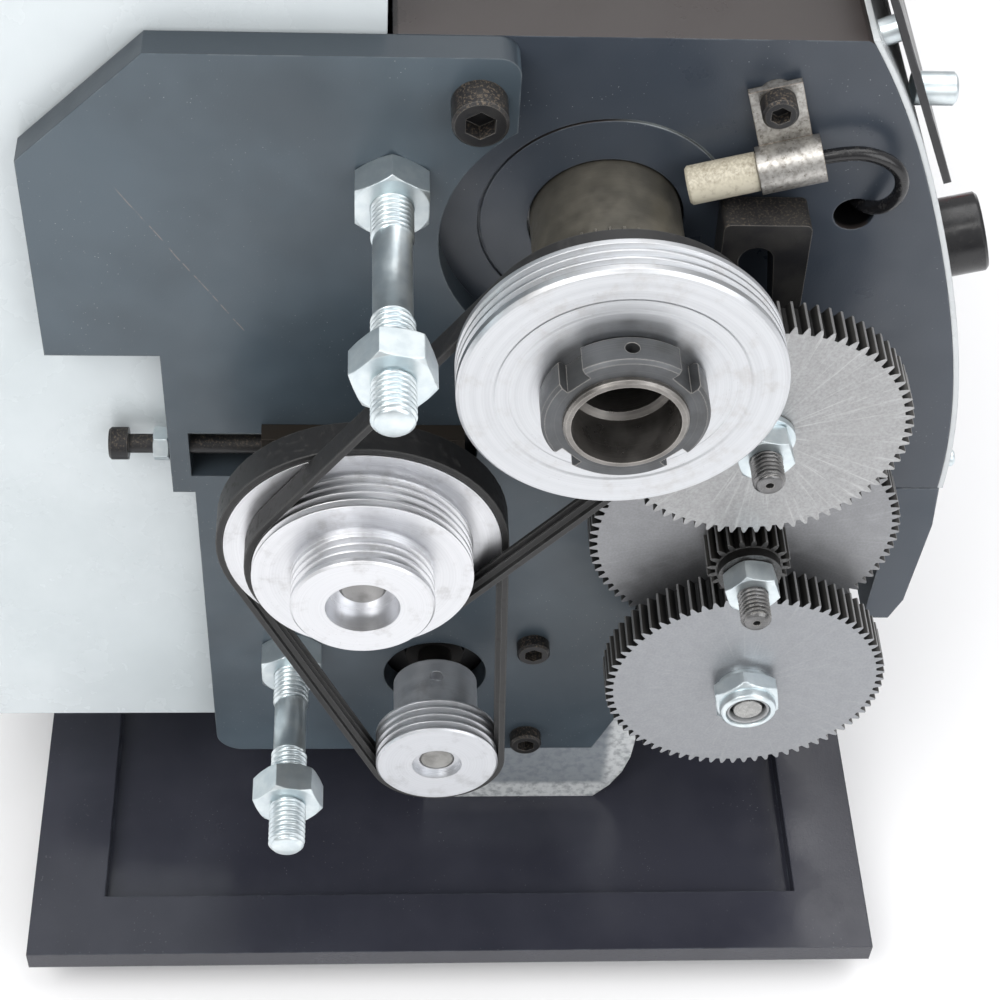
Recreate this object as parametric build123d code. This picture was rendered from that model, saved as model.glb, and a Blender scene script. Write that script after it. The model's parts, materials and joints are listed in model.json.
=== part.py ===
from build123d import *
import os
from math import acos, atan2, cos, degrees, hypot, pi, radians, sin, tan

# Bench metal lathe, drive end opened.  Millimetres, +X along the bed from the
# headstock to the tailstock, operator side at -Y, +Z up.  Every shape below is
# drawn about the spindle axis, with x = 0 on the headstock's end face, and is
# moved once, in save(), to the row frame whose origin is under the whole lathe.

# ---------------------------------------------------------------- placement
END_FACE_X = -314.75       # row X of the headstock's end face
AXIS_Y = -30.0             # row Y of the spindle axis
AXIS_Z = 267.5             # height of the spindle axis above the bench

# ---------------------------------------------------------- driving dimensions
CENTRE_HEIGHT = 104.0      # spindle axis above the tops of the V ways
WAY_FLAT_Z = -110.0        # flats beside the V ways
BED_HALF = 38.0            # half the width of the bed
BED_X = (0.0, 690.0)
RAIL_WALL = 12.0
RAIL_BOTTOM = -172.0
BED_FOOT_Z = -250.5        # underside of the bed's feet, on the tray's pan
TRAY_X = (-59.2, 712.0)
TRAY_Y = (-99.7, 158.9)
TRAY_RIM_Z = -245.0
TRAY_LIP = 7.5
SHEET = 2.0
BOLT_R = 5.0               # M10 holes from the tray's underside into the feet
BOLT_X = (40.0, 636.0)
BOLT_Y = (-6.0, 26.0)
FOOT_HEIGHT = 15.0

HEAD_LENGTH = 165.0        # headstock casting along X
HEAD_TOP = 53.5
HEAD_REAR = 51.2
HEAD_BOTTOM = -97.0
PLATE = 8.0                # thickness of the motor plate on the end face
PLATE_CUTOUT = 40.0        # radius cut from the plate round the spindle

MODULE = 1.0               # change gears
PRESSURE = radians(20)
SPINDLE_TEETH = 39
UPPER_TEETH = 72
REAR_TEETH = 20
COMPOUND_TEETH = 80
PINION_TEETH = 20
SCREW_TEETH = 75
BACKLASH = 0.22            # removed from each tooth at the pitch circle

SPINDLE_R = 15.0
SPINDLE_BORE = 10.5
SPINDLE_THREAD_R = 13.9
SPINDLE_END = -67.0
NOSE_X = 182.0             # front of the spindle flange
BEARING_R = 31.0
BEARING_W = 16.0
PULLEY_R = 37.2
PULLEY_X = (-57.2, -40.0)
PULLEY_STEP = (30.2, -47.2)  # radius of the rear step, and where the front rim ends
HUB_R = 18.1
BELT_THICK = 2.8
MOTOR_BELT_X = (-39.1, -29.9)
SPINDLE_BELT_X = (-46.9, -40.1)
BELT_GAP = 0.3
RIB_PITCH = 2.34
RIB_DEPTH = 1.5
TENSION_R = 2.5            # belt adjusting screw
TENSION_X = -4.0

CHUCK_R = 50.0
CHUCK_X = (NOSE_X, 238.0)
JAW_WIDTH = 12.0

SCREW_R = 8.0              # leadscrew
RACK_Z = -116.0            # pitch line of the rack
RACK_PINION_TEETH = 10


def polar(start, distance, angle):
    """The point at a distance and an angle (degrees from +Y towards +Z)."""
    turn = radians(angle)
    return (start[0] + distance * cos(turn), start[1] + distance * sin(turn))


def mesh(teeth_a, teeth_b):
    return MODULE * (teeth_a + teeth_b) / 2


SPINDLE = (0.0, 0.0)
STUD_1 = polar(SPINDLE, mesh(SPINDLE_TEETH, UPPER_TEETH), -135.04)
STUD_2 = polar(STUD_1, mesh(REAR_TEETH, COMPOUND_TEETH), -93.93)
LEADSCREW = polar(STUD_2, mesh(PINION_TEETH, SCREW_TEETH), -95.8)
IDLER = (57.6, -75.8)
MOTOR = (36.5, -171.8)
MOTOR_R = 30.0
REAR_GEARS_X = (-24.0, -15.5)
FRONT_GEARS_X = (-33.6, -25.0)
PINION_X = (-34.7, -24.3)
SCREW_GEAR_X = (-38.0, -28.0)
COLLAR = 2.6               # thickness of the collar in front of the pinion
IDLER_STEPS = ((35.0, -29.6, -39.4), (27.7, -39.4, -49.0), (17.9, -49.0, -58.5))
MOTOR_PULLEY_R = 17.4

CARRIAGE_X = (285.0, 405.0)
APRON_X = (CARRIAGE_X[0] + 6.0, CARRIAGE_X[1] - 6.0)
APRON_Y = (-76.0, -39.0)
HANDWHEEL_X = CARRIAGE_X[0] + 22.0
CROSS_X = CARRIAGE_X[0] + 70.0
HALF_NUT_X = (CARRIAGE_X[0] + 74.0, CARRIAGE_X[0] + 98.0)
HALF_NUT_LIFT = 3.0        # how far it stands below the leadscrew when open
LEVER_X = CARRIAGE_X[0] + 100.0
SADDLE_TOP = -88.0         # flat beside the cross slide's dovetail
CROSS_SCREW_Z = -86.0
COMPOUND_SCREW_Z = -48.6
POST_X = CROSS_X - 12.0
TAIL_X = (560.0, 652.0)

PLATE_SCREWS = [(32.0, 41.2, 4.0), (8.3, -158.0, 3.0), (8.0, -204.0, 3.0)]
COVER_STUDS = [(51.1, 17.0), (78.1, -161.5)]
STUD_ENDS = (-82.5, -73.6)
STUD_NUTS = ((-71.0, -62.6), (-60.5, -52.1))
GEAR_STUDS = [(STUD_1, -50.0, FRONT_GEARS_X[0] - 0.2), (STUD_2, -53.0, PINION_X[0] - COLLAR - 0.2)]
GUARD_X = (1.5, 172.0)     # sheet metal guard behind the headstock
GUARD_Y = (52.4, 190.0)
GUARD_Z = (-205.0, 95.0)
SHIELD_HINGE = (70.0, 30.0)

CLIP_SCREW = (-35.7, 38.5)
SENSOR_TILT = -16.6        # degrees from +Y, towards the spindle's hub
SENSOR_AT = (-41.3, 23.2)
SENSOR_X = -6.0
SENSOR_R = 4.6
CABLE_HOLE = (-59.5, 2.6)
CABLE_R = 1.7
CABLE_START = polar(SENSOR_AT, -6.0, SENSOR_TILT)
CABLE_NEXT = polar(SENSOR_AT, -13.0, SENSOR_TILT)
CABLE_ROUTE = [(SENSOR_X, *CABLE_START), (SENSOR_X, *CABLE_NEXT), (-6.4, -61.2, 25.9), (-6.4, -66.6, 21.6),
               (-6.0, -68.0, 14.8), (-4.4, -65.4, 8.6), (0.2, -61.0, 4.6), (7.0, -59.7, 2.8)]

LEVER_ANGLE = 140.0        # half nut lever, degrees from straight up towards the tailstock
KNOB_AT = (22.0, -90.3, -24.8)
KNOB_TILT = -16.0
STOP_AT = (150.0, -89.6, -20.0)
STOP_TILT = -17.0
BANJO_X = (-14.0, -4.0)


# ------------------------------------------------------------- small helpers
def block(x, y, z):
    """A box between the pairs of x, y and z."""
    size = [abs(pair[1] - pair[0]) for pair in (x, y, z)]
    middle = [(pair[0] + pair[1]) / 2 for pair in (x, y, z)]
    return Pos(*middle) * Box(*size)


def along_x(radius, x, at=(0.0, 0.0)):
    return Pos((x[0] + x[1]) / 2, at[0], at[1]) * Rot(0, 90, 0) * Cylinder(radius, abs(x[1] - x[0]))


def along_y(radius, y, x, z):
    return Pos(x, (y[0] + y[1]) / 2, z) * Rot(90, 0, 0) * Cylinder(radius, abs(y[1] - y[0]))


def along_z(radius, z, x, y):
    return Pos(x, y, (z[0] + z[1]) / 2) * Cylinder(radius, abs(z[1] - z[0]))


def turned(profile, at=(0.0, 0.0)):
    """A solid of revolution about X, from (x, radius) points."""
    return Pos(0, at[0], at[1]) * revolve(make_face(Polyline(*profile, close=True)), Axis.X)


def prism_x(outline, x):
    """An outline of (y, z) points, extruded from x[0] to x[1]."""
    return Pos(x[0], 0, 0) * extrude(Plane.YZ * make_face(Polyline(*outline, close=True)), x[1] - x[0])


def prism_y(outline, y):
    """An outline of (x, z) points, extruded from y[0] to y[1]."""
    face = Plane.XZ * make_face(Polyline(*outline, close=True))
    return Pos(0, y[1], 0) * extrude(face, y[1] - y[0])


def group(shapes):
    return Part() + list(shapes)


def outward(shape, x, y, z):
    """Turn a shape drawn along +X to face the operator, and set it down at a point."""
    return Pos(x, y, z) * Rot(0, 0, -90) * shape


def save(name, shape):
    placed = Pos(END_FACE_X, AXIS_Y, AXIS_Z) * shape
    export_step(placed, os.path.join("parts", name + ".step"))
    print(name, len(placed.solids()), "solids")


# ---------------------------------------------------------------------- gears
def half_angle(teeth, radius):
    """Half the angle of a tooth at a radius, from the involute of the pitch circle."""
    pitch = MODULE * teeth / 2
    base = pitch * cos(PRESSURE)
    slope = acos(min(1.0, base / max(radius, base)))
    thickness = (pi * MODULE / 2 - BACKLASH) / (2 * pitch)
    return thickness + (tan(PRESSURE) - PRESSURE) - (tan(slope) - slope)


def gear(teeth, x, bore, at=(0.0, 0.0), phase=0.0):
    """A spur gear with a tooth centred at the phase angle (radians from +Y to +Z)."""
    pitch = MODULE * teeth / 2
    radii = (pitch - 1.2 * MODULE, pitch, pitch + MODULE)
    points = []
    for tooth in range(teeth):
        middle = phase + 2 * pi * tooth / teeth
        rising = [(r, middle - half_angle(teeth, r)) for r in radii]
        falling = [(r, middle + half_angle(teeth, r)) for r in reversed(radii)]
        points += [(r * cos(a), r * sin(a)) for r, a in rising + falling]
    return Pos(0, at[0], at[1]) * (prism_x(points, x) - along_x(bore, (x[0] - 1, x[1] + 1)))


def next_phase(phase, teeth, start, end, next_teeth):
    """Phase that puts the next gear's gap where this gear's tooth comes."""
    line = atan2(end[1] - start[1], end[0] - start[0])
    return line + pi + pi / next_teeth + (line - phase) * teeth / next_teeth


UPPER_PHASE = next_phase(0.0, SPINDLE_TEETH, SPINDLE, STUD_1, UPPER_TEETH)
COMPOUND_PHASE = next_phase(0.0, REAR_TEETH, STUD_1, STUD_2, COMPOUND_TEETH)
SCREW_PHASE = next_phase(0.0, PINION_TEETH, STUD_2, LEADSCREW, SCREW_TEETH)


# ------------------------------------------------------------------ fasteners
def hexagon(across_flats, x, at, turn=0.0):
    face = Plane.YZ * Rot(0, 0, turn) * RegularPolygon(across_flats / 2, 6, major_radius=False)
    return Pos(x[0], at[0], at[1]) * extrude(face, x[1] - x[0])


def hex_nut(across_flats, x, at, bore, turn=0.0):
    """A hexagon nut along X with its corners chamfered on both faces."""
    corner = across_flats / 2 / cos(pi / 6)
    low, high = min(x), max(x)
    edge = (corner - across_flats / 2) * 0.9
    rounding = turned([(low, 0), (low, corner - edge), (low + edge * 0.6, corner),
                       (high - edge * 0.6, corner), (high, corner - edge), (high, 0)], at)
    return (hexagon(across_flats, (low, high), at, turn) & rounding) - along_x(bore, (low - 1, high + 1), at)


def cap_screw(radius, head_x, at, length):
    """A socket head cap screw whose head lies between head_x, its shank going on towards +X."""
    front, seat = head_x
    head_r = radius * 1.6
    profile = [(front, 0), (front, head_r - 0.6), (front + 0.6, head_r), (seat, head_r), (seat, radius),
               (seat + length, radius), (seat + length, 0)]
    return turned(profile, at) - hexagon(radius * 1.62, (front - 1, front + radius * 1.1), at, 30)


# --------------------------------------------------------------- bed and tray
def v_way(y, grow=0.0):
    """An inverted V way along the bed, or its clearance when grown."""
    half = 7.0 + grow
    top = -CENTRE_HEIGHT + grow
    return [(y - half, WAY_FLAT_Z - 0.01), (y - 1.5, top), (y + 1.5, top), (y + half, WAY_FLAT_Z - 0.01)]


def bed():
    rails = [block(BED_X, (side * BED_HALF, side * (BED_HALF - RAIL_WALL)), (RAIL_BOTTOM, WAY_FLAT_Z))
             for side in (-1, 1)]
    tops = [block(BED_X, (side * BED_HALF, side * 16.0), (WAY_FLAT_Z - 12.0, WAY_FLAT_Z)) for side in (-1, 1)]
    ways = [prism_x(v_way(y), BED_X) for y in (-29.0, 29.0)]
    ribs = [block((x, x + 10.0), (-30.0, 30.0), (RAIL_BOTTOM, WAY_FLAT_Z - 34.0))
            for x in (200.0, 290.0, 380.0, 470.0, 560.0)]
    inner = BED_HALF - RAIL_WALL
    curve = [(-28.0, -219.0), (-27.4, -228.0), (-25.4, -236.5), (-22.0, -244.0), (-17.0, BED_FOOT_Z)]
    left_wall = prism_x([(-8, -219), (-8, RAIL_BOTTOM + 20), (-28, RAIL_BOTTOM + 20)] + curve
                        + [(BED_HALF, BED_FOOT_Z), (BED_HALF, -219)], (BED_X[0], 130.0))
    left_head = block((BED_X[0], 130.0), (-inner, inner), (-128.0, WAY_FLAT_Z - 6.0))
    right_foot = prism_x([(-BED_HALF, RAIL_BOTTOM + 1), (-BED_HALF, -235), (-BED_HALF - 8, BED_FOOT_Z),
                          (BED_HALF + 8, BED_FOOT_Z), (BED_HALF, -235), (BED_HALF, RAIL_BOTTOM + 1)],
                         (570.0, BED_X[1]))
    hollow = block((582.0, BED_X[1] - 12.0), (-inner, inner), (-236.0, RAIL_BOTTOM - 8.0))
    bay_r = MOTOR_R + 3.0
    motor_bay = along_x(bay_r, (BED_X[0] - 1, 131.0), MOTOR)
    bay_mouth = block((BED_X[0] - 1, 131.0), (MOTOR[0], 80.0), (MOTOR[1] - bay_r, MOTOR[1] + bay_r))
    tail_end = block((BED_X[1] - 12.0, BED_X[1]), (-inner, inner), (RAIL_BOTTOM, WAY_FLAT_Z - 14.0))
    casting = group(rails + tops + ways + ribs + [left_wall, left_head, right_foot, tail_end])
    return casting - hollow - motor_bay - bay_mouth - bench_bolts((BED_FOOT_Z - 1.0, BED_FOOT_Z + 18.0))


def bench_bolts(z):
    """The four bolt holes from under the tray into the bed's feet."""
    return group(along_z(BOLT_R, z, x, y) for x in BOLT_X for y in BOLT_Y)


def rack():
    """Steel rack screwed under the front way, teeth downwards."""
    start, pitches = HANDWHEEL_X - 58.5 * pi * MODULE, 152
    flank = tan(PRESSURE) * MODULE
    half_gap = (pi * MODULE / 2 + BACKLASH) / 2
    points = [(start - 2.0, WAY_FLAT_Z - 1.0), (start - 2.0, RACK_Z - MODULE)]
    for pitch in range(pitches):
        gap = start + (pitch + 0.5) * pi * MODULE
        points += [(gap - half_gap - flank, RACK_Z - MODULE), (gap - half_gap + flank, RACK_Z + 1.2 * MODULE),
                   (gap + half_gap - flank, RACK_Z + 1.2 * MODULE), (gap + half_gap + flank, RACK_Z - MODULE)]
    end = start + pitches * pi * MODULE + 2.0
    points += [(end, RACK_Z - MODULE), (end, WAY_FLAT_Z - 1.0)]
    return prism_y(points, (-BED_HALF - 6.0, -BED_HALF))


def ring(outer, inner, z):
    """A rectangular frame: outer and inner are ((x0, x1), (y0, y1))."""
    return block(outer[0], outer[1], z) - block(inner[0], inner[1], (z[0] - 1, z[1] + 1))


def inset(pair, amount):
    return (pair[0] + amount, pair[1] - amount)


def chip_tray():
    rim_z = (TRAY_RIM_Z - SHEET, TRAY_RIM_Z)
    floor_z = (BED_FOOT_Z - SHEET, BED_FOOT_Z)
    outer = (TRAY_X, TRAY_Y)
    inside_lip = (inset(TRAY_X, SHEET), inset(TRAY_Y, SHEET))
    pan = (inset(TRAY_X, 20.0), inset(TRAY_Y, 22.0))
    pan_wall = (inset(TRAY_X, 18.0), inset(TRAY_Y, 20.0))
    lip = ring(outer, inside_lip, (TRAY_RIM_Z - TRAY_LIP, TRAY_RIM_Z))
    rim = ring(outer, pan, rim_z)
    wall = ring(pan_wall, pan, (floor_z[0], TRAY_RIM_Z))
    floor = block(pan_wall[0], pan_wall[1], floor_z)
    return lip + rim + wall + floor - bench_bolts((BED_FOOT_Z - SHEET - 1.0, BED_FOOT_Z + 1.0))


def rubber_feet():
    top = BED_FOOT_Z - SHEET
    foot = Cone(16.0, 20.0, FOOT_HEIGHT)
    return group(Pos(x, y, top - FOOT_HEIGHT / 2) * foot
                 for x in (0.0, 650.0) for y in (-62.0, 122.0))


# ------------------------------------------------------------------ headstock
def head_front(offset=0.0):
    """Front edge of the headstock section, top to bottom, moved out by an offset."""
    points = [(-55.3, HEAD_TOP), (-68.6, 29.0), (-80.0, 0.5), (-92.0, -38.5), (-99.6, -84.0),
              (-100.0, HEAD_BOTTOM)]
    return [(y - offset, z) for y, z in points]


def head_face(offset_front, rear):
    front = Spline(*head_front(offset_front))
    corner = head_front(offset_front)
    rest = Polyline(corner[-1], (rear, HEAD_BOTTOM), (rear, HEAD_TOP), corner[0])
    return Plane.YZ * make_face(front + rest)


def headstock_casting():
    body = extrude(head_face(0.0, HEAD_REAR), HEAD_LENGTH)
    body = chamfer(body.edges().filter_by(Axis.X).sort_by(Axis.Z)[-2:], 1.0)
    foot = block((BED_X[0], HEAD_LENGTH), (-BED_HALF, BED_HALF), (WAY_FLAT_Z, HEAD_BOTTOM + 1))
    casting = body + foot
    for y in (-29.0, 29.0):
        casting -= prism_x(v_way(y, 0.4), (-1.0, HEAD_LENGTH + 1))
    seat_l = along_x(BEARING_R, (4.0, 4.0 + BEARING_W))
    seat_r = along_x(BEARING_R, (HEAD_LENGTH - 4.0 - BEARING_W, HEAD_LENGTH - 4.0))
    cavity = along_x(42.0, (28.0, HEAD_LENGTH - 28.0))
    wiring = block((12.0, HEAD_LENGTH - 12.0), (-78.0, -50.0), (-88.0, 0.0))
    bore = along_x(HUB_R + 0.6, (-1.0, HEAD_LENGTH + 1))
    groove = along_x(30.6, (-1.0, 0.8)) - along_x(30.0, (-2.0, 1.8))
    cable_hole = along_x(4.9, (-1.0, 14.0), CABLE_HOLE)
    screw_hole = along_x(2.6, (-1.0, 6.5), CLIP_SCREW)
    bored = casting - seat_l - seat_r - cavity - wiring - bore - groove
    return bored - cable_hole - screw_hole - stop_hole()


def lower_front_housing():
    """Wall that hangs below the front of the headstock and hides the leadscrew's end."""
    outline = [(-90.0, HEAD_BOTTOM - 0.4), (-100.6, HEAD_BOTTOM - 0.4), (-101.8, -113.0), (-100.0, -147.0),
               (-97.0, -155.5), (-89.5, -155.5)]
    flange = block((0.0, HEAD_LENGTH - 10.0), (-92.0, -64.0), (HEAD_BOTTOM - 6.0, HEAD_BOTTOM - 0.4))
    return prism_x(outline, (0.0, HEAD_LENGTH - 10.0)) + flange


def front_panel():
    """Thin curved sheet that lies on the front of the headstock."""
    outer = extrude(head_face(1.5, -40.0), HEAD_LENGTH)
    inner = Pos(-1, 0, 0) * extrude(head_face(0.0, -30.0), HEAD_LENGTH + 2)
    return outer - inner - group(panel_pins()) - stop_hole()


def label_panel():
    """Flat black plate held off the upper part of the front panel."""
    outline = [(-55.3, 68.0), (-57.0, 68.7), (-82.2, 10.4), (-80.4, 9.7)]
    return prism_x(outline, (3.0, HEAD_LENGTH - 8.0)) - group(panel_pins())


def panel_pins():
    """Spacers behind the label plate, the small screw under it and the panel's bright stud."""
    spacer = turned([(0, 0), (0, 3.2), (6.0, 3.2), (6.0, 0)])
    screw = turned([(2, 0), (2, 2.4), (5.5, 2.4), (6, 1.9), (6, 0)])
    stud = turned([(0, 0), (0, 4.0), (9.6, 4.0), (10.2, 3.4), (10.2, 0)])
    pins = [outward(stud, 14.0, -70.8, 29.6)]
    for x in (9.0, HEAD_LENGTH - 14.0):
        pins.append(outward(Rot(0, -23.5, 0) * spacer, x, -58.9, 48.9))
        pins.append(outward(screw, x, -99.5, -94.6))
    return pins


def stop_hole():
    """Hole through the panel into the casting that the stop button's stem slides in."""
    return Pos(*STOP_AT) * Rot(0, 0, -90) * Rot(0, STOP_TILT, 0) * along_x(7.4, (-5.0, 7.0))


def spindle_bearings():
    seats = [(4.0, 4.0 + BEARING_W), (HEAD_LENGTH - 4.0 - BEARING_W, HEAD_LENGTH - 4.0)]
    return group(along_x(BEARING_R, x) - along_x(SPINDLE_R + 0.05, (x[0] - 1, x[1] + 1)) for x in seats)


# ---------------------------------------------------------- end plate and drive
def motor_plate():
    low = -20.0
    start = (low, -(PLATE_CUTOUT ** 2 - low ** 2) ** 0.5)
    end = (23.0, (PLATE_CUTOUT ** 2 - 23.0 ** 2) ** 0.5)
    arc = ThreePointArc(start, (PLATE_CUTOUT, 0), end)
    sides = Polyline(end, (23.0, 53.4), (105.3, 53.4), (136.0, 22.8), (136.0, -39.3), (107.8, -39.3),
                     (107.8, -90.5), (102.0, -90.5), (102.0, -211.0), (-13.0, -211.0), (low, -192.0), start)
    plate = Pos(-PLATE, 0, 0) * extrude(Plane.YZ * make_face(arc + sides), PLATE)
    rounded = [(23.0, 53.4, 5.0), (102.0, -211.0, 8.0)]
    for y, z, radius in rounded:
        edge = [e for e in plate.edges().filter_by(Axis.X) if hypot(e.center().Y - y, e.center().Z - z) < 0.5]
        plate = fillet(edge, radius)
    slot = block((-PLATE - 1, 1.0), (28.0, 102.6), (IDLER[1] - 8.3, IDLER[1] + 8.3))
    screw_hole = along_y(TENSION_R + 0.05, (90.0, 110.0), TENSION_X, IDLER[1])
    motor_hole = along_x(15.0, (-PLATE - 1, 1.0), MOTOR)
    holes = [along_x(5.0, (-PLATE - 1, 1.0), at) for at in COVER_STUDS]
    holes += [along_x(radius, (-PLATE - 1, 1.0), (y, z)) for y, z, radius in PLATE_SCREWS]
    return plate - slot - screw_hole - motor_hole - group(holes)


def cover_studs():
    """Two long studs that the missing end cover slides on to, waisted under the outer nut."""
    studs = []
    for at, end, nut in zip(COVER_STUDS, STUD_ENDS, STUD_NUTS):
        studs.append(turned([(end, 0), (end, 3.9), (end + 1.1, 5.0), (nut[0] - 0.4, 5.0), (nut[0] - 0.4, 4.5),
                             (nut[1] + 0.4, 4.5), (nut[1] + 0.9, 5.0), (end + 30, 5.0), (end + 31, 4.5),
                             (-27.0, 4.5), (-26.0, 5.0), (0.0, 5.0), (0.0, 0)], at))
    return group(studs)


def gear_studs():
    """M8 studs of the two change gear axles: a 10 mm journal, and a flat head behind the banjo."""
    front, back = BANJO_X
    studs = []
    for at, end, shoulder in GEAR_STUDS:
        profile = [(end, 0), (end, 3.2), (end + 0.8, 4.0), (shoulder, 4.0), (shoulder, 5.0),
                   (front - 0.1, 5.0), (front - 0.1, 4.0), (back + 0.1, 4.0), (back + 0.1, 8.5), (-0.6, 8.5),
                   (-0.6, 0)]
        studs.append(turned(profile, at) - along_x(1.0, (end - 1.0, end + 6.0), at))
    return group(studs)


def bright_fasteners():
    """Zinc plated nuts of the studs and the adjusting screw, washers, and the panel's pins."""
    nuts = []
    for at, outer in zip(COVER_STUDS, STUD_NUTS):
        nuts.append(hex_nut(17.0, (-16.4, -8.0), at, 5.0, 30))
        nuts.append(hex_nut(17.0, outer, at, 4.5, 12))
    for (at, _, shoulder), washer in zip(GEAR_STUDS, (1.8, 0.0)):
        seat = shoulder - 0.1 - washer
        nuts.append(hex_nut(13.0, (seat - 6.5, seat), at, 4.0, 10))
    face = GEAR_STUDS[0][2] - 0.1
    nuts.append(along_x(8.0, (face - 1.8, face), STUD_1) - along_x(4.0, (face - 3, face + 1), STUD_1))
    lock_nut = hex_nut(8.0, (-3.6, 0.4), (0, 0), TENSION_R + 0.05)
    nuts.append(Pos(TENSION_X, 111.6, IDLER[1]) * Rot(0, 0, 90) * lock_nut)
    return group(nuts + panel_pins())


def socket_screws():
    """Black cap screws of the motor plate and the sensor clip."""
    screws = [cap_screw(radius, (-PLATE - head, -PLATE), (y, z), PLATE)
              for (y, z, radius), head in zip(PLATE_SCREWS, (8.0, 4.0, 4.0))]
    screws.append(cap_screw(2.6, (-8.0, -3.0), CLIP_SCREW, 9.0))
    return group(screws)


def ribs(start, end, radius):
    """Rim of a ribbed pulley from start to end, as (x, radius) points."""
    direction = 1 if end > start else -1
    count = int(abs(end - start) / RIB_PITCH)
    margin = (abs(end - start) - count * RIB_PITCH) / 2
    points = [(start, radius)]
    for rib in range(count):
        left = start + direction * (margin + rib * RIB_PITCH)
        points += [(left + direction * 0.3, radius), (left + direction * RIB_PITCH / 2, radius - RIB_DEPTH),
                   (left + direction * (RIB_PITCH - 0.3), radius)]
    points.append((end, radius))
    return points


def spindle_pulley():
    """Ribbed pulley with a large front rim and the smaller step that carries the belt."""
    front, back = PULLEY_X
    step_r, split = PULLEY_STEP
    profile = [(front, SPINDLE_THREAD_R), (front, 25.0), (front + 0.3, 25.6), (front + 0.3, 28.4),
               (front, 29.0), (front, PULLEY_R - 0.8)]
    profile += [(front + 0.8, PULLEY_R)] + ribs(front + 1.0, split, PULLEY_R)[1:]
    profile += [(split, step_r)] + ribs(split, back, step_r)[1:] + [(back, SPINDLE_THREAD_R)]
    return turned(profile)


def spindle_gear():
    """Spindle gear cut on a long dark hub that reaches to the headstock's face."""
    teeth = gear(SPINDLE_TEETH, FRONT_GEARS_X, SPINDLE_THREAD_R)
    hub = turned([(PULLEY_X[1], SPINDLE_THREAD_R), (PULLEY_X[1], 15.6), (FRONT_GEARS_X[0], 15.6),
                  (FRONT_GEARS_X[0], 16.0), (FRONT_GEARS_X[1], 16.0), (FRONT_GEARS_X[1], HUB_R), (2.0, HUB_R),
                  (2.0, SPINDLE_THREAD_R)])
    return teeth + hub


def ring_nut():
    body = turned([(-65.5, SPINDLE_THREAD_R), (-65.5, 17.9), (-64.7, 18.7), (-58.2, 18.7), (-57.4, 17.9),
                   (-57.2, SPINDLE_THREAD_R)])
    for quarter in range(4):
        notch = block((-67.0, -57.0), (15.8, 20.0), (-3.2, 3.2))
        body -= Rot(45 + 90 * quarter, 0, 0) * notch
    return body - along_z(1.6, (13.0, 20.0), -61.4, 0.0)


def spindle():
    profile = [(SPINDLE_END, 12.2), (SPINDLE_END, SPINDLE_THREAD_R - 0.6),
               (SPINDLE_END + 0.6, SPINDLE_THREAD_R), (2.0, SPINDLE_THREAD_R), (2.0, SPINDLE_R),
               (HEAD_LENGTH - 4.0, SPINDLE_R),
               (HEAD_LENGTH - 4.0, 18.0), (NOSE_X - 12.0, 18.0), (NOSE_X - 12.0, 36.0), (NOSE_X, 36.0),
               (NOSE_X, 12.0), (NOSE_X - 75.0, SPINDLE_BORE), (SPINDLE_END + 14.0, SPINDLE_BORE),
               (SPINDLE_END + 13.0, 12.2)]
    return turned(profile)


def chuck_body():
    back, front = CHUCK_X
    profile = [(back, 11.0), (back, CHUCK_R - 8.0), (back + 14.0, CHUCK_R - 8.0),
               (back + 14.0, CHUCK_R - 1.0), (back + 15.0, CHUCK_R), (front - 1.5, CHUCK_R),
               (front, CHUCK_R - 1.5), (front, 11.0)]
    body = turned(profile)
    half = JAW_WIDTH / 2 + 0.2
    for third in range(3):
        slot = block((front - 14.0, front + 1.0), (0.0, CHUCK_R + 1.0), (-half, half))
        key_hole = along_y(4.5, (CHUCK_R - 16.0, CHUCK_R + 1.0), back + 28.0, 0.0)
        body -= Rot(90 + 120 * third, 0, 0) * slot
        body -= Rot(150 + 120 * third, 0, 0) * key_hole
    return body


def chuck_jaw(third):
    """A stepped jaw; number 0 stands upright above the axis."""
    front = CHUCK_X[1]
    half = JAW_WIDTH / 2
    steps = [((front - 13.7, front + 0.3), (14.0, 43.0)), ((front + 0.3, front + 8.0), (14.0, 43.0)),
             ((front + 8.0, front + 15.0), (8.5, 32.0)), ((front + 15.0, front + 22.0), (8.5, 21.0))]
    jaw = group(block(x, y, (-half, half)) for x, y in steps)
    tip = block((front + 0.3, front + 8.0), (8.5, 14.0), (-half, half))
    return Rot(90 + 120 * third, 0, 0) * (jaw + tip)


def belt(first, first_r, second, second_r, x):
    """A closed flat loop round two pulleys, lying BELT_GAP above their rims."""
    def loop(grow):
        r1, r2 = first_r + BELT_GAP + grow, second_r + BELT_GAP + grow
        span = hypot(second[0] - first[0], second[1] - first[1])
        line = atan2(second[1] - first[1], second[0] - first[0])
        lean = acos((r1 - r2) / span)
        turns = [degrees(line + side * lean) for side in (1, -1)]
        ends = [(polar(first, r1, turn), polar(second, r2, turn)) for turn in turns]
        sheet = make_face(Polyline(ends[0][0], ends[0][1], ends[1][1], ends[1][0], close=True))
        sheet += Pos(first[0], first[1]) * Circle(r1)
        sheet += Pos(second[0], second[1]) * Circle(r2)
        return sheet
    return Pos(x[0], 0, 0) * extrude(Plane.YZ * (loop(BELT_THICK) - loop(0.0)), x[1] - x[0])


def drive_belts():
    """Ribbed belts from the motor to the idler and from the idler to the spindle."""
    motor_belt = belt(IDLER, IDLER_STEPS[0][0], MOTOR, MOTOR_PULLEY_R, MOTOR_BELT_X)
    spindle_belt = belt(SPINDLE, PULLEY_STEP[0], IDLER, IDLER_STEPS[1][0], SPINDLE_BELT_X)
    return group([motor_belt, spindle_belt])


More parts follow.
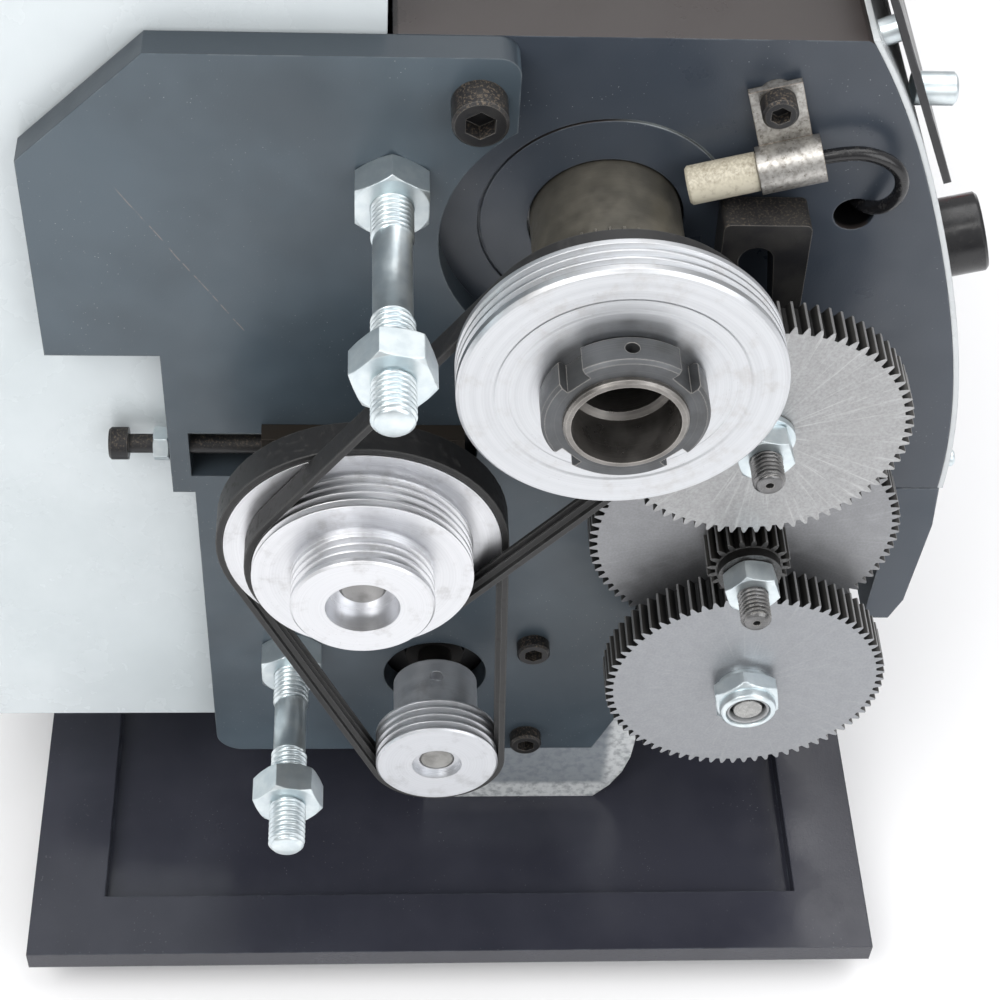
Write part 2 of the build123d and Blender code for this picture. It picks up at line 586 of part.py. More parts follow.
def idler_pulley():
    """Three-step pulley, bored right through, with a ball bearing's seat at each end."""
    (large, back, first), (medium, _, second), (small, _, front) = IDLER_STEPS
    profile = [(back, 10.0), (back, large)] + ribs(back, first, large)[1:] + [(first, medium)]
    profile += ribs(first, second, medium)[1:] + [(second, small)] + ribs(second, front + 0.6, small)[1:]
    profile += [(front, small - 0.6), (front, 9.3), (front + 7.0, 9.3), (front + 7.0, 6.08), (back, 6.08)]
    return turned(profile, IDLER)


def tensioner_block():
    """Slide block in the motor plate's slot, with the idler's fixed axle."""
    y, z = IDLER
    tongue = block((-PLATE, -0.4), (y - 26.0, y + 26.0), (z - 8.1, z + 8.1))
    flange = block((-13.5, -PLATE - 0.1), (y - 26.0, y + 26.0), (z - 12.0, z + 12.0))
    neck = block((-PLATE - 0.2, -PLATE), (y - 25.0, y + 25.0), (z - 8.0, z + 8.0))
    axle = turned([(-52.6, 0), (-52.6, 5.2), (-51.8, 6.0), (-29.0, 6.0), (-29.0, 9.0), (-13.5, 9.0),
                   (-13.5, 0)], IDLER)
    threaded = along_y(TENSION_R + 0.05, (y + 12.0, y + 27.0), TENSION_X, z)
    return tongue + flange + neck + axle - threaded


def tension_screw():
    """Screw through the plate's edge that pulls the slide block to tighten the belts."""
    shank = along_y(TENSION_R, (IDLER[0] + 14.0, 118.5), TENSION_X, IDLER[1])
    head = turned([(0, 0), (0, 4.25), (4.4, 4.25), (5.0, 3.7), (5.0, 0)]) - hexagon(4.0, (2.2, 6.0), (0, 0))
    return shank + Pos(TENSION_X, 118.5, IDLER[1]) * Rot(0, 0, 90) * head


def motor_housing():
    """Round motor behind the plate, with cooling ribs along its shell."""
    body = turned([(1.8, 9.0), (1.8, MOTOR_R - 3.0), (4.8, MOTOR_R), (112.0, MOTOR_R), (118.0, MOTOR_R - 5.0),
                   (118.0, 9.0)], MOTOR)
    return body - along_x(MOTOR_R - 6.0, (7.0, 112.0), MOTOR)


def motor_shaft():
    """Rotor and shaft."""
    rotor = MOTOR_R - 8.0
    return turned([(-38.4, 0), (-38.4, 4.4), (-37.8, 5.0), (-1.0, 5.0), (-1.0, 8.5), (10.0, 8.5),
                   (10.0, rotor), (104.0, rotor), (104.0, 8.5), (120.0, 8.5), (120.0, 0)], MOTOR)


def motor_pulley():
    profile = [(-40.3, 7.0), (-40.3, MOTOR_PULLEY_R - 0.6)] + ribs(-39.7, -29.6, MOTOR_PULLEY_R)
    profile += [(-29.6, 12.2), (-12.0, 12.2), (-11.4, 11.6), (-11.4, 5.0), (-38.4, 5.0), (-38.4, 7.0)]
    hub_screw = along_z(1.8, (MOTOR[1] + 8.0, MOTOR[1] + 14.0), -18.0, MOTOR[0])
    return turned(profile, MOTOR) - hub_screw


# ---------------------------------------------------------------- change gears
def upper_change_gear():
    """Large gear driven by the spindle, cut in one with the small gear behind it."""
    large = gear(UPPER_TEETH, FRONT_GEARS_X, 5.06, STUD_1, UPPER_PHASE)
    small = gear(REAR_TEETH, REAR_GEARS_X, 5.06, STUD_1)
    neck = along_x(8.0, (FRONT_GEARS_X[1] - 0.5, REAR_GEARS_X[0] + 0.5), STUD_1)
    return large + small + (neck - along_x(5.06, (-40.0, 0.0), STUD_1))


def compound_gear():
    return gear(COMPOUND_TEETH, REAR_GEARS_X, 5.06, STUD_2, COMPOUND_PHASE)


def compound_pinion():
    """Small gear keyed to the front of the compound gear, with a collar on its face."""
    face = PINION_X[0]
    collar = along_x(8.3, (face - COLLAR, face), STUD_2) - along_x(5.06, (face - 5.0, face + 1.0), STUD_2)
    return gear(PINION_TEETH, (face, REAR_GEARS_X[0]), 5.06, STUD_2) + collar


def leadscrew_gear():
    return gear(SCREW_TEETH, SCREW_GEAR_X, 6.0, LEADSCREW, SCREW_PHASE)


def leadscrew_nut():
    """Washer and nut on the leadscrew's end."""
    face = SCREW_GEAR_X[0]
    washer = along_x(7.4, (face - 1.6, face), LEADSCREW) - along_x(5.0, (-60.0, 0.0), LEADSCREW)
    return washer + hex_nut(17.0, (face - 9.6, face - 1.6), LEADSCREW, 5.0, 20)


def leadscrew():
    return turned([(-46.5, 0), (-46.5, 4.2), (-45.7, 5.0), (SCREW_GEAR_X[0], 5.0), (SCREW_GEAR_X[0], 6.0),
                   (30.0, 6.0), (30.0, SCREW_R), (660.0, SCREW_R), (660.0, 6.0), (677.0, 6.0), (677.0, 0)],
                  LEADSCREW)


def leadscrew_brackets():
    """Bearing blocks on the front of the bed: the left one's boss carries the banjo."""
    y, z = LEADSCREW
    left = block((BED_X[0], 26.0), (y - 13.0, -BED_HALF), (z - 14.0, z + 14.0))
    left += along_x(13.8, (-14.3, 0.0), LEADSCREW)
    right = block((661.0, 676.0), (y - 13.0, -BED_HALF), (z - 14.0, z + 18.0))
    bore = along_x(6.06, (-20.0, 690.0), LEADSCREW)
    return group([left - bore, right - bore])


def gear_banjo():
    """Slotted bracket that swings on the leadscrew boss and holds both gear studs."""
    hub_y, hub_z = LEADSCREW
    arm = prism_x([(-25.8, 11.2), (-46.6, 11.2), (-47.6, -20.0), (-56.0, -80.0), (hub_y - 18.0, hub_z + 8.0),
                   (hub_y + 18.0, hub_z + 8.0), (-30.0, -80.0), (-26.8, -20.0)], BANJO_X)
    arm = fillet(arm.edges().filter_by(Axis.X).sort_by(Axis.Z)[-2:], 1.8)
    hub = along_x(20.0, BANJO_X, LEADSCREW)
    upper = slot_x(polar(STUD_1, 39.6, 83.2), polar(STUD_1, 11.0, -96.8), 4.15)
    lower = slot_x(polar(STUD_2, 12.0, 83.0), polar(STUD_2, 14.0, -96.0), 4.15)
    return arm + hub - upper - lower - along_x(13.85, (-20.0, 0.0), LEADSCREW)


def slot_x(start, end, radius):
    """A round-ended slot cutter along X between two (y, z) centres."""
    line = atan2(end[1] - start[1], end[0] - start[0])
    side = [polar(start, radius, degrees(line) + 90), polar(end, radius, degrees(line) + 90),
            polar(end, radius, degrees(line) - 90), polar(start, radius, degrees(line) - 90)]
    x = (-20.0, 0.0)
    return prism_x(side, x) + along_x(radius, x, start) + along_x(radius, x, end)


# --------------------------------------------------------------- speed sensor
def along_sensor(shape):
    """Set a shape drawn along +X on the sensor's axis, its +X towards the spindle."""
    turn = radians(SENSOR_TILT)
    return Plane(origin=(SENSOR_X, SENSOR_AT[0], SENSOR_AT[1]), x_dir=(0, cos(turn), sin(turn)),
                 z_dir=(1, 0, 0)) * shape


def speed_sensor():
    """Cylindrical pick-up, slimmer where the clip holds it."""
    return along_sensor(turned([(-6.0, 0), (-6.0, 3.4), (-5.4, 4.2), (8.6, 4.2), (8.6, SENSOR_R),
                                (24.4, SENSOR_R), (25.0, 4.0), (25.0, 0)]))


def sensor_clip():
    """Bent strap that holds the sensor against the headstock's face."""
    strap = along_sensor(along_x(5.6, (-6.8, 8.4)) - along_x(4.22, (-8.0, 10.0)))
    tab = Pos(0, *CLIP_SCREW) * Rot(SENSOR_TILT, 0, 0) * block((-3.0, -1.4), (-6.2, 6.2), (-14.0, 4.2))
    tab -= along_sensor(along_x(4.7, (-20.0, 30.0)))
    boss = along_x(4.2, (-2.0, 0.0), CLIP_SCREW)
    return strap + tab + boss - along_x(2.6, (-10.0, 1.0), CLIP_SCREW)


def arc_radii(points):
    """The largest arc that each corner's two runs allow."""
    radii = []
    for before, here, after in zip(points, points[1:], points[2:]):
        first, second = Vector(*here) - Vector(*before), Vector(*after) - Vector(*here)
        turn = radians(first.get_angle(second))
        radii.append(0.45 * min(first.length, second.length) / tan(turn / 2))
    return radii


def sensor_cable():
    radii = arc_radii(CABLE_ROUTE)
    print("cable bend radii", [round(r, 1) for r in radii])
    path = FilletPolyline(*CABLE_ROUTE, radius=radii)
    start = Plane(origin=path @ 0, z_dir=path % 0)
    tube = sweep(start * Circle(CABLE_R), path)
    print("cable volume ratio", round(tube.volume / (pi * CABLE_R ** 2 * path.length), 4))
    return tube


# ------------------------------------------------------------------- rear guard
def rear_guard():
    """Sheet metal box behind the headstock, over the motor and the speed control."""
    box = block(GUARD_X, GUARD_Y, GUARD_Z)
    box = fillet(box.edges().filter_by(Axis.X).sort_by(Axis.Y)[-2:], 10.0)
    inside = block(inset(GUARD_X, SHEET), inset(GUARD_Y, SHEET), inset(GUARD_Z, SHEET))
    mouth = block((4.0, 140.0), (GUARD_Y[0] - 5.0, GUARD_Y[0] + 5.0), (-203.0, -110.0))
    window = along_x(43.0, (0.0, 5.0), MOTOR)
    return box - inside - mouth - window


# ----------------------------------------------------------- handwheels, knobs
def crank_wheel(radius, width, hub_r, grip_length):
    """A dished handwheel drawn along +X, with a turned grip near its rim."""
    disc = turned([(0, 0), (0, hub_r), (2.0, hub_r), (3.0, radius - 7.0), (1.5, radius - 6.0),
                   (1.5, radius - 1.5), (3.0, radius), (width - 1.5, radius), (width, radius - 1.5),
                   (width, radius - 6.0), (width - 2.0, radius - 8.0), (width - 3.0, hub_r + 2.0),
                   (width + 1.0, hub_r), (width + 1.0, 0)])
    at = (radius - 10.0, 0)
    end = width + grip_length
    pin = turned([(2.5, 0), (2.5, 3.0), (width + 3.0, 3.0), (width + 3.0, 0)], at)
    grip = turned([(width + 1.0, 0), (width + 1.0, 4.2), (width + 3.0, 5.0), (width + grip_length * 0.6, 6.8),
                   (end - 3.0, 6.0), (end, 3.0), (end, 0)], at)
    return disc + pin + grip


def speed_knob():
    """Plain control knob on the front panel."""
    knob = turned([(0, 0), (0, 10.2), (9.4, 10.2), (10.2, 9.4), (10.2, 0)])
    return Pos(*KNOB_AT) * Rot(0, 0, -90) * Rot(0, KNOB_TILT, 0) * knob


def stop_button():
    """Mushroom stop button on the front panel."""
    button = turned([(-1.0, 0), (-1.0, 7.0), (8.0, 7.0), (9.0, 13.0), (12.0, 14.0), (16.0, 11.5), (17.5, 0)])
    return Pos(*STOP_AT) * Rot(0, 0, -90) * Rot(0, STOP_TILT, 0) * button


# ------------------------------------------------------------------- carriage
def dovetail_y(half, z, y):
    """A male dovetail lying along Y, or its groove: half width at the narrow bottom z[0]."""
    wide = half + 0.6 * (z[1] - z[0])
    return prism_y([(CROSS_X - half, z[0]), (CROSS_X - wide, z[1]), (CROSS_X + wide, z[1]),
                    (CROSS_X + half, z[0])], y)


def dovetail_x(half, z, x):
    wide = half + 0.6 * (z[1] - z[0])
    return prism_x([(-half, z[0]), (-wide, z[1]), (wide, z[1]), (half, z[0])], x)


def saddle():
    """H-shaped saddle on the ways, with the cross slide's dovetail across it."""
    y = (-78.0, 62.0)
    wings = block(CARRIAGE_X, (-44.0, 44.0), (WAY_FLAT_Z + 0.1, SADDLE_TOP - 6.0))
    bridge = block((CROSS_X - 34.0, CROSS_X + 34.0), y, (-CENTRE_HEIGHT + 0.5, SADDLE_TOP))
    body = wings + bridge + dovetail_y(18.0, (SADDLE_TOP - 1.0, SADDLE_TOP + 9.0), y)
    for way in (-29.0, 29.0):
        body -= prism_x(v_way(way, 0.3), (CARRIAGE_X[0] - 1, CARRIAGE_X[1] + 1))
    return body - along_y(5.2, (-80.0, 40.0), CROSS_X, CROSS_SCREW_Z)


def pinion_z():
    return RACK_Z - MODULE * RACK_PINION_TEETH / 2


def apron():
    """Casting under the front of the saddle: half nut and handwheel shaft inside."""
    through = (APRON_X[0] - 1, APRON_X[1] + 1)
    cavity = (HALF_NUT_X[0] - 2.0, HALF_NUT_X[1] + 2.0)
    body = block(APRON_X, APRON_Y, (-166.0, WAY_FLAT_Z - 0.2))
    body -= block(through, (-46.5, -38.0), (-120.0, -109.0))
    body -= along_x(SCREW_R + 1.2, through, LEADSCREW)
    body -= block(cavity, (-60.0, -38.0), (-160.0, -111.0))
    body -= along_y(7.2, (-47.0, -38.0), HANDWHEEL_X, pinion_z())
    body -= along_y(4.05, (-77.0, -46.0), HANDWHEEL_X, pinion_z())
    body -= along_y(4.05, (-77.0, -59.0), LEVER_X, LEADSCREW[1])
    shoulder = block(APRON_X, (APRON_Y[0], -46.6), (WAY_FLAT_Z - 0.3, -CENTRE_HEIGHT + 0.4))
    return body + shoulder


def apron_handwheel():
    """Wheel, shaft and rack pinion of the carriage feed, one body."""
    wheel = outward(crank_wheel(30.0, 9.0, 10.0, 34.0), HANDWHEEL_X, -80.0, pinion_z())
    shaft = along_y(4.0, (-80.0, -45.0), HANDWHEEL_X, pinion_z())
    collar = along_y(9.0, (-79.9, -76.3), HANDWHEEL_X, pinion_z())
    teeth = gear(RACK_PINION_TEETH, (-45.0, -38.4), 0.5, (0.0, 0.0), pi / 2)
    return wheel + shaft + collar + Pos(HANDWHEEL_X, 0, pinion_z()) * Rot(0, 0, 90) * teeth


def half_nut_lever():
    z = LEADSCREW[1]
    hub = outward(turned([(0, 0), (0, 8.0), (8.0, 8.0), (9.0, 7.0), (9.0, 0)]), LEVER_X, -76.4, z)
    shaft = along_y(4.0, (-77.0, -60.4), LEVER_X, z)
    arm = along_z(3.0, (6.0, 42.0), 0.0, 0.0) + Pos(0, 0, 46.0) * Sphere(7.0)
    return hub + shaft + Pos(LEVER_X, -81.0, z) * Rot(0, LEVER_ANGLE, 0) * arm


def half_nut():
    """Half nut that rises on to the leadscrew; it stands open, 3 mm low, at rest."""
    y, z = LEADSCREW
    body = block(HALF_NUT_X, (y - 11.4, y + 9.0), (z - 14.0, z - 0.2))
    thread = along_x(SCREW_R + 0.06, (HALF_NUT_X[0] - 1, HALF_NUT_X[1] + 1), LEADSCREW)
    return Pos(0, 0, -HALF_NUT_LIFT) * (body - thread)


def cross_slide():
    y = (-62.0, 56.0)
    body = block((CROSS_X - 34.0, CROSS_X + 34.0), y, (SADDLE_TOP + 0.2, SADDLE_TOP + 20.0))
    return body - dovetail_y(18.4, (SADDLE_TOP - 1.0, SADDLE_TOP + 9.3), (y[0] - 1, y[1] + 1))


def cross_slide_wheel():
    at = (CROSS_X, -92.0, CROSS_SCREW_Z)
    wheel = outward(crank_wheel(24.0, 8.0, 9.0, 30.0), *at)
    dial = outward(turned([(-12.0, 0), (-12.0, 15.0), (-1.0, 15.0), (0, 14.0), (0, 0)]), *at)
    return wheel + dial + along_y(4.9, (-80.0, 38.0), CROSS_X, CROSS_SCREW_Z)


def compound_base():
    """Round swivel with the top slide's dovetail, which lies along the bed at rest."""
    x = (CROSS_X - 40.0, CROSS_X + 52.0)
    disc = along_z(30.0, (-67.9, -60.0), CROSS_X, 0.0)
    plate = block(x, (-24.0, 24.0), (-60.0, -52.0))
    tunnel = along_x(4.0, (CROSS_X - 30.0, CROSS_X + 60.0), (0.0, COMPOUND_SCREW_Z))
    return disc + plate + dovetail_x(11.0, (-52.5, -44.0), x) - tunnel


def top_slide():
    """Upper slide with the tool post's fixed bolt."""
    x = (CROSS_X - 40.0, CROSS_X + 44.0)
    body = block(x, (-24.0, 24.0), (-51.8, -33.0)) - dovetail_x(11.4, (-52.5, -43.7), (x[0] - 1, x[1] + 1))
    return body + along_z(5.0, (-34.0, 22.0), POST_X, 0.0)


def compound_wheel():
    at = (0.0, COMPOUND_SCREW_Z)
    wheel = Pos(CROSS_X + 62.0, at[0], at[1]) * crank_wheel(19.0, 7.0, 7.0, 24.0)
    dial = along_x(11.0, (CROSS_X + 52.3, CROSS_X + 62.0), at)
    return wheel + dial + along_x(3.9, (CROSS_X - 28.0, CROSS_X + 55.0), at)


def tool_post():
    """Four-way tool post with its clamp screws."""
    body = block((-25.0, 25.0), (-25.0, 25.0), (-32.8, 4.0)) - along_z(5.06, (-40.0, 10.0), 0.0, 0.0)
    for quarter in range(4):
        turn = Rot(0, 0, 90 * quarter)
        body -= turn * block((13.0, 26.0), (-26.0, 26.0), (-20.0, -7.0))
        for offset in (-14.0, 2.0):
            shank = along_z(3.0, (-8.0, 12.0), 19.0, offset)
            head = block((16.0, 22.0), (offset - 3.0, offset + 3.0), (11.0, 17.0))
            body += turn * (shank + head)
    return Pos(POST_X, 0, 0) * body


def tool_post_lever():
    hub = Rot(0, -90, 0) * turned([(4.3, 5.06), (4.3, 9.0), (20.3, 8.0), (25.0, 5.0), (25.0, 0), (22.6, 0),
                                   (22.6, 5.06)])
    arm = along_z(3.2, (6.0, 52.0), 0.0, 0.0) + Pos(0, 0, 56.0) * Sphere(8.0)
    arm = Pos(0, 0, 16.0) * Rot(0, 60, 0) * arm - along_z(5.06, (-5.0, 22.6), 0.0, 0.0)
    return Pos(POST_X, 0, 0) * (hub + arm)


# ------------------------------------------------------------------ tailstock
def tailstock_body():
    low = WAY_FLAT_Z + 0.1
    middle = (TAIL_X[0] + TAIL_X[1]) / 2
    base = block((TAIL_X[0] + 6, TAIL_X[1] - 6), (-46.0, 46.0), (low, -82.0))
    outline = [(-34.0, -82.5), (-17.0, -24.0), (-24.0, 0.0), (24.0, 0.0), (17.0, -24.0), (34.0, -82.5)]
    column = prism_x(outline, (middle - 30.0, middle + 30.0))
    barrel = turned([(TAIL_X[0], 13.05), (TAIL_X[0], 22.5), (TAIL_X[0] + 1.5, 24.0), (TAIL_X[1] - 1.5, 24.0),
                     (TAIL_X[1], 22.5), (TAIL_X[1], 13.05)])
    body = base + column
    for y in (-29.0, 29.0):
        body -= prism_x(v_way(y, 0.3), (TAIL_X[0], TAIL_X[1]))
    plate = block((middle - 18.0, middle + 18.0), (-25.0, 25.0), (-134.0, -124.0))
    bolt = along_z(5.0, (-140.0, -70.0), middle, 0.0)
    return (body - along_x(13.05, (TAIL_X[0] - 1, TAIL_X[1] + 1))) + barrel + plate + bolt


def quill():
    """Sliding sleeve with its fixed centre."""
    start, end = TAIL_X[0], TAIL_X[1] - 22.0
    return turned([(start - 54.0, 0), (start - 26.0, 8.5), (start - 22.0, 9.0), (start - 20.0, 11.5),
                   (start - 19.0, 13.0), (end, 13.0), (end, 6.0), (start + 20.0, 6.0), (start + 20.0, 0)])


def tailstock_wheel():
    wheel = Pos(TAIL_X[1] + 10.0, 0, 0) * crank_wheel(32.0, 9.0, 10.0, 30.0)
    collar = along_x(16.0, (TAIL_X[1] + 0.3, TAIL_X[1] + 10.0))
    screw = along_x(5.9, (TAIL_X[0] + 62.0, TAIL_X[1] + 1.0))
    return wheel + collar + screw


def tailstock_lever():
    """Clamp lever of the quill, on the operator's side of the barrel."""
    x = TAIL_X[0] + 18.0
    hub = along_z(6.5, (24.3, 36.0), x, 0.0)
    arm = Pos(x, 0, 30.0) * Rot(50, 0, 0) * along_z(3.0, (4.0, 44.0), 0.0, 0.0)
    ball = Pos(x, 0, 30.0) * Rot(50, 0, 0) * Pos(0, 0, 47.0) * Sphere(6.5)
    return hub + arm + ball


def chuck_guard():
    """Clear curved shield over the chuck on a hinged arm behind the headstock."""
    shell = along_x(64.0, (186.0, 262.0)) - along_x(62.0, (180.0, 270.0))
    shell -= block((180.0, 270.0), (-80.0, 80.0), (-80.0, 10.0))
    arm = block((HEAD_LENGTH + 9.0, 190.0), (60.5, 69.0), (12.0, 36.0))
    pivot = along_x(5.0, (HEAD_LENGTH + 8.5, 200.0), SHIELD_HINGE)
    return shell + arm + pivot


PARTS = {
    "bed": bed,
    "rack": rack,
    "chip_tray": chip_tray,
    "rubber_feet": rubber_feet,
    "headstock_casting": headstock_casting,
    "lower_front_housing": lower_front_housing,
    "spindle_bearings": spindle_bearings,
    "motor_plate": motor_plate,
    "motor_housing": motor_housing,
    "rear_guard": rear_guard,
    "cover_studs": cover_studs,
    "bright_fasteners": bright_fasteners,
    "socket_screws": socket_screws,
    "gear_banjo": gear_banjo,
    "gear_studs": gear_studs,
    "speed_sensor": speed_sensor,
    "sensor_clip": sensor_clip,
    "sensor_cable": sensor_cable,
    "front_panel": front_panel,
    "label_panel": label_panel,
    "drive_belts": drive_belts,
    "leadscrew_brackets": leadscrew_brackets,
    "spindle": spindle,
    "spindle_gear": spindle_gear,
    "spindle_pulley": spindle_pulley,
    "spindle_ring_nut": ring_nut,
    "chuck_body": chuck_body,
    "chuck_jaw_1": lambda: chuck_jaw(0),
    "chuck_jaw_2": lambda: chuck_jaw(1),
    "chuck_jaw_3": lambda: chuck_jaw(2),
    "tensioner_block": tensioner_block,
    "idler_pulley": idler_pulley,
    "tension_screw": tension_screw,
    "motor_shaft": motor_shaft,
    "motor_pulley": motor_pulley,
    "upper_change_gear": upper_change_gear,
    "compound_gear": compound_gear,
    "compound_pinion": compound_pinion,
    "leadscrew": leadscrew,
    "leadscrew_gear": leadscrew_gear,
    "leadscrew_nut": leadscrew_nut,
    "saddle": saddle,
    "apron": apron,
    "apron_handwheel": apron_handwheel,
    "half_nut_lever": half_nut_lever,
    "half_nut": half_nut,
    "cross_slide": cross_slide,
    "cross_slide_wheel": cross_slide_wheel,
    "compound_base": compound_base,
    "top_slide": top_slide,
    "compound_wheel": compound_wheel,
    "tool_post": tool_post,
    "tool_post_lever": tool_post_lever,
    "tailstock_body": tailstock_body,
    "quill": quill,
    "tailstock_wheel": tailstock_wheel,
    "tailstock_lever": tailstock_lever,
    "chuck_guard": chuck_guard,
    "speed_knob": speed_knob,
    "stop_button": stop_button,
}

os.makedirs("parts", exist_ok=True)
for name, make in PARTS.items():
    save(name, make())
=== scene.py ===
import json
from math import atan2, cos, hypot, pi, radians, sin, tan

import bpy
from mathutils import Matrix, Vector


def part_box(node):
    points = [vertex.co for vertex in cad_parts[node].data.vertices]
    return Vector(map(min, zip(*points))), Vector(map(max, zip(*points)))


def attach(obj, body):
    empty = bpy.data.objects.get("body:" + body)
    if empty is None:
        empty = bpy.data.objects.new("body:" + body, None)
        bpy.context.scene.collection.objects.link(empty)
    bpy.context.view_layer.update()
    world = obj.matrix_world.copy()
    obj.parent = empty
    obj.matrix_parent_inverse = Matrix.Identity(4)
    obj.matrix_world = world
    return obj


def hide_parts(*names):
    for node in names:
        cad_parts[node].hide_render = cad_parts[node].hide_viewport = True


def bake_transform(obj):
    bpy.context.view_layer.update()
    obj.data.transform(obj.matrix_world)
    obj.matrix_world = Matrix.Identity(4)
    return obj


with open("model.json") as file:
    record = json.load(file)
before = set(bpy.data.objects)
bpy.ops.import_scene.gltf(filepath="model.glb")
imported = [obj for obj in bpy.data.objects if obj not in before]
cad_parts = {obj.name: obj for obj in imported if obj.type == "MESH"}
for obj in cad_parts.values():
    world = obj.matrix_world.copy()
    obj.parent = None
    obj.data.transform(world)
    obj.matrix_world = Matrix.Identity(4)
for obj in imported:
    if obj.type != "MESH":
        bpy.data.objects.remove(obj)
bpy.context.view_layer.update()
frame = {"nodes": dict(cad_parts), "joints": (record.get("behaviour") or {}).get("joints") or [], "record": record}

# The row frame is in metres: +X along the bed, the operator at -Y, the bench at z = 0.
MM = 0.001
# Threads, as (pitch, depth).
M8_THREAD = (1.25 * MM, 0.75 * MM)
M10_THREAD = (1.5 * MM, 0.85 * MM)
LEAD_THREAD = (3.0 * MM, 1.5 * MM)
JOINTS = {joint["name"]: joint for joint in frame["joints"]}


def axis_of(joint):
    """The (y, z) centre of a joint's axis, in metres."""
    return tuple(JOINTS[joint]["pos_m"][1:])


def low(node):
    """The lowest corner of a CAD node's box."""
    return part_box(node)[0]


def high(node):
    """The highest corner of a CAD node's box."""
    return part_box(node)[1]


SPINDLE = axis_of("spindle_spin")
IDLER = axis_of("idler_spin")
MOTOR = axis_of("motor_spin")
UPPER_STUD = axis_of("stud_1_spin")
LOWER_STUD = axis_of("stud_2_spin")
LEADSCREW = axis_of("leadscrew_spin")
END_FACE = low("headstock_casting").x


# ------------------------------------------------------------------- colours
def rgb(red, green, blue):
    """A screen colour, 0 to 255, as the linear colour that a shader takes."""
    def linear(value):
        value /= 255
        return value / 12.92 if value <= 0.04045 else ((value + 0.055) / 1.055) ** 2.4
    return (linear(red), linear(green), linear(blue), 1.0)


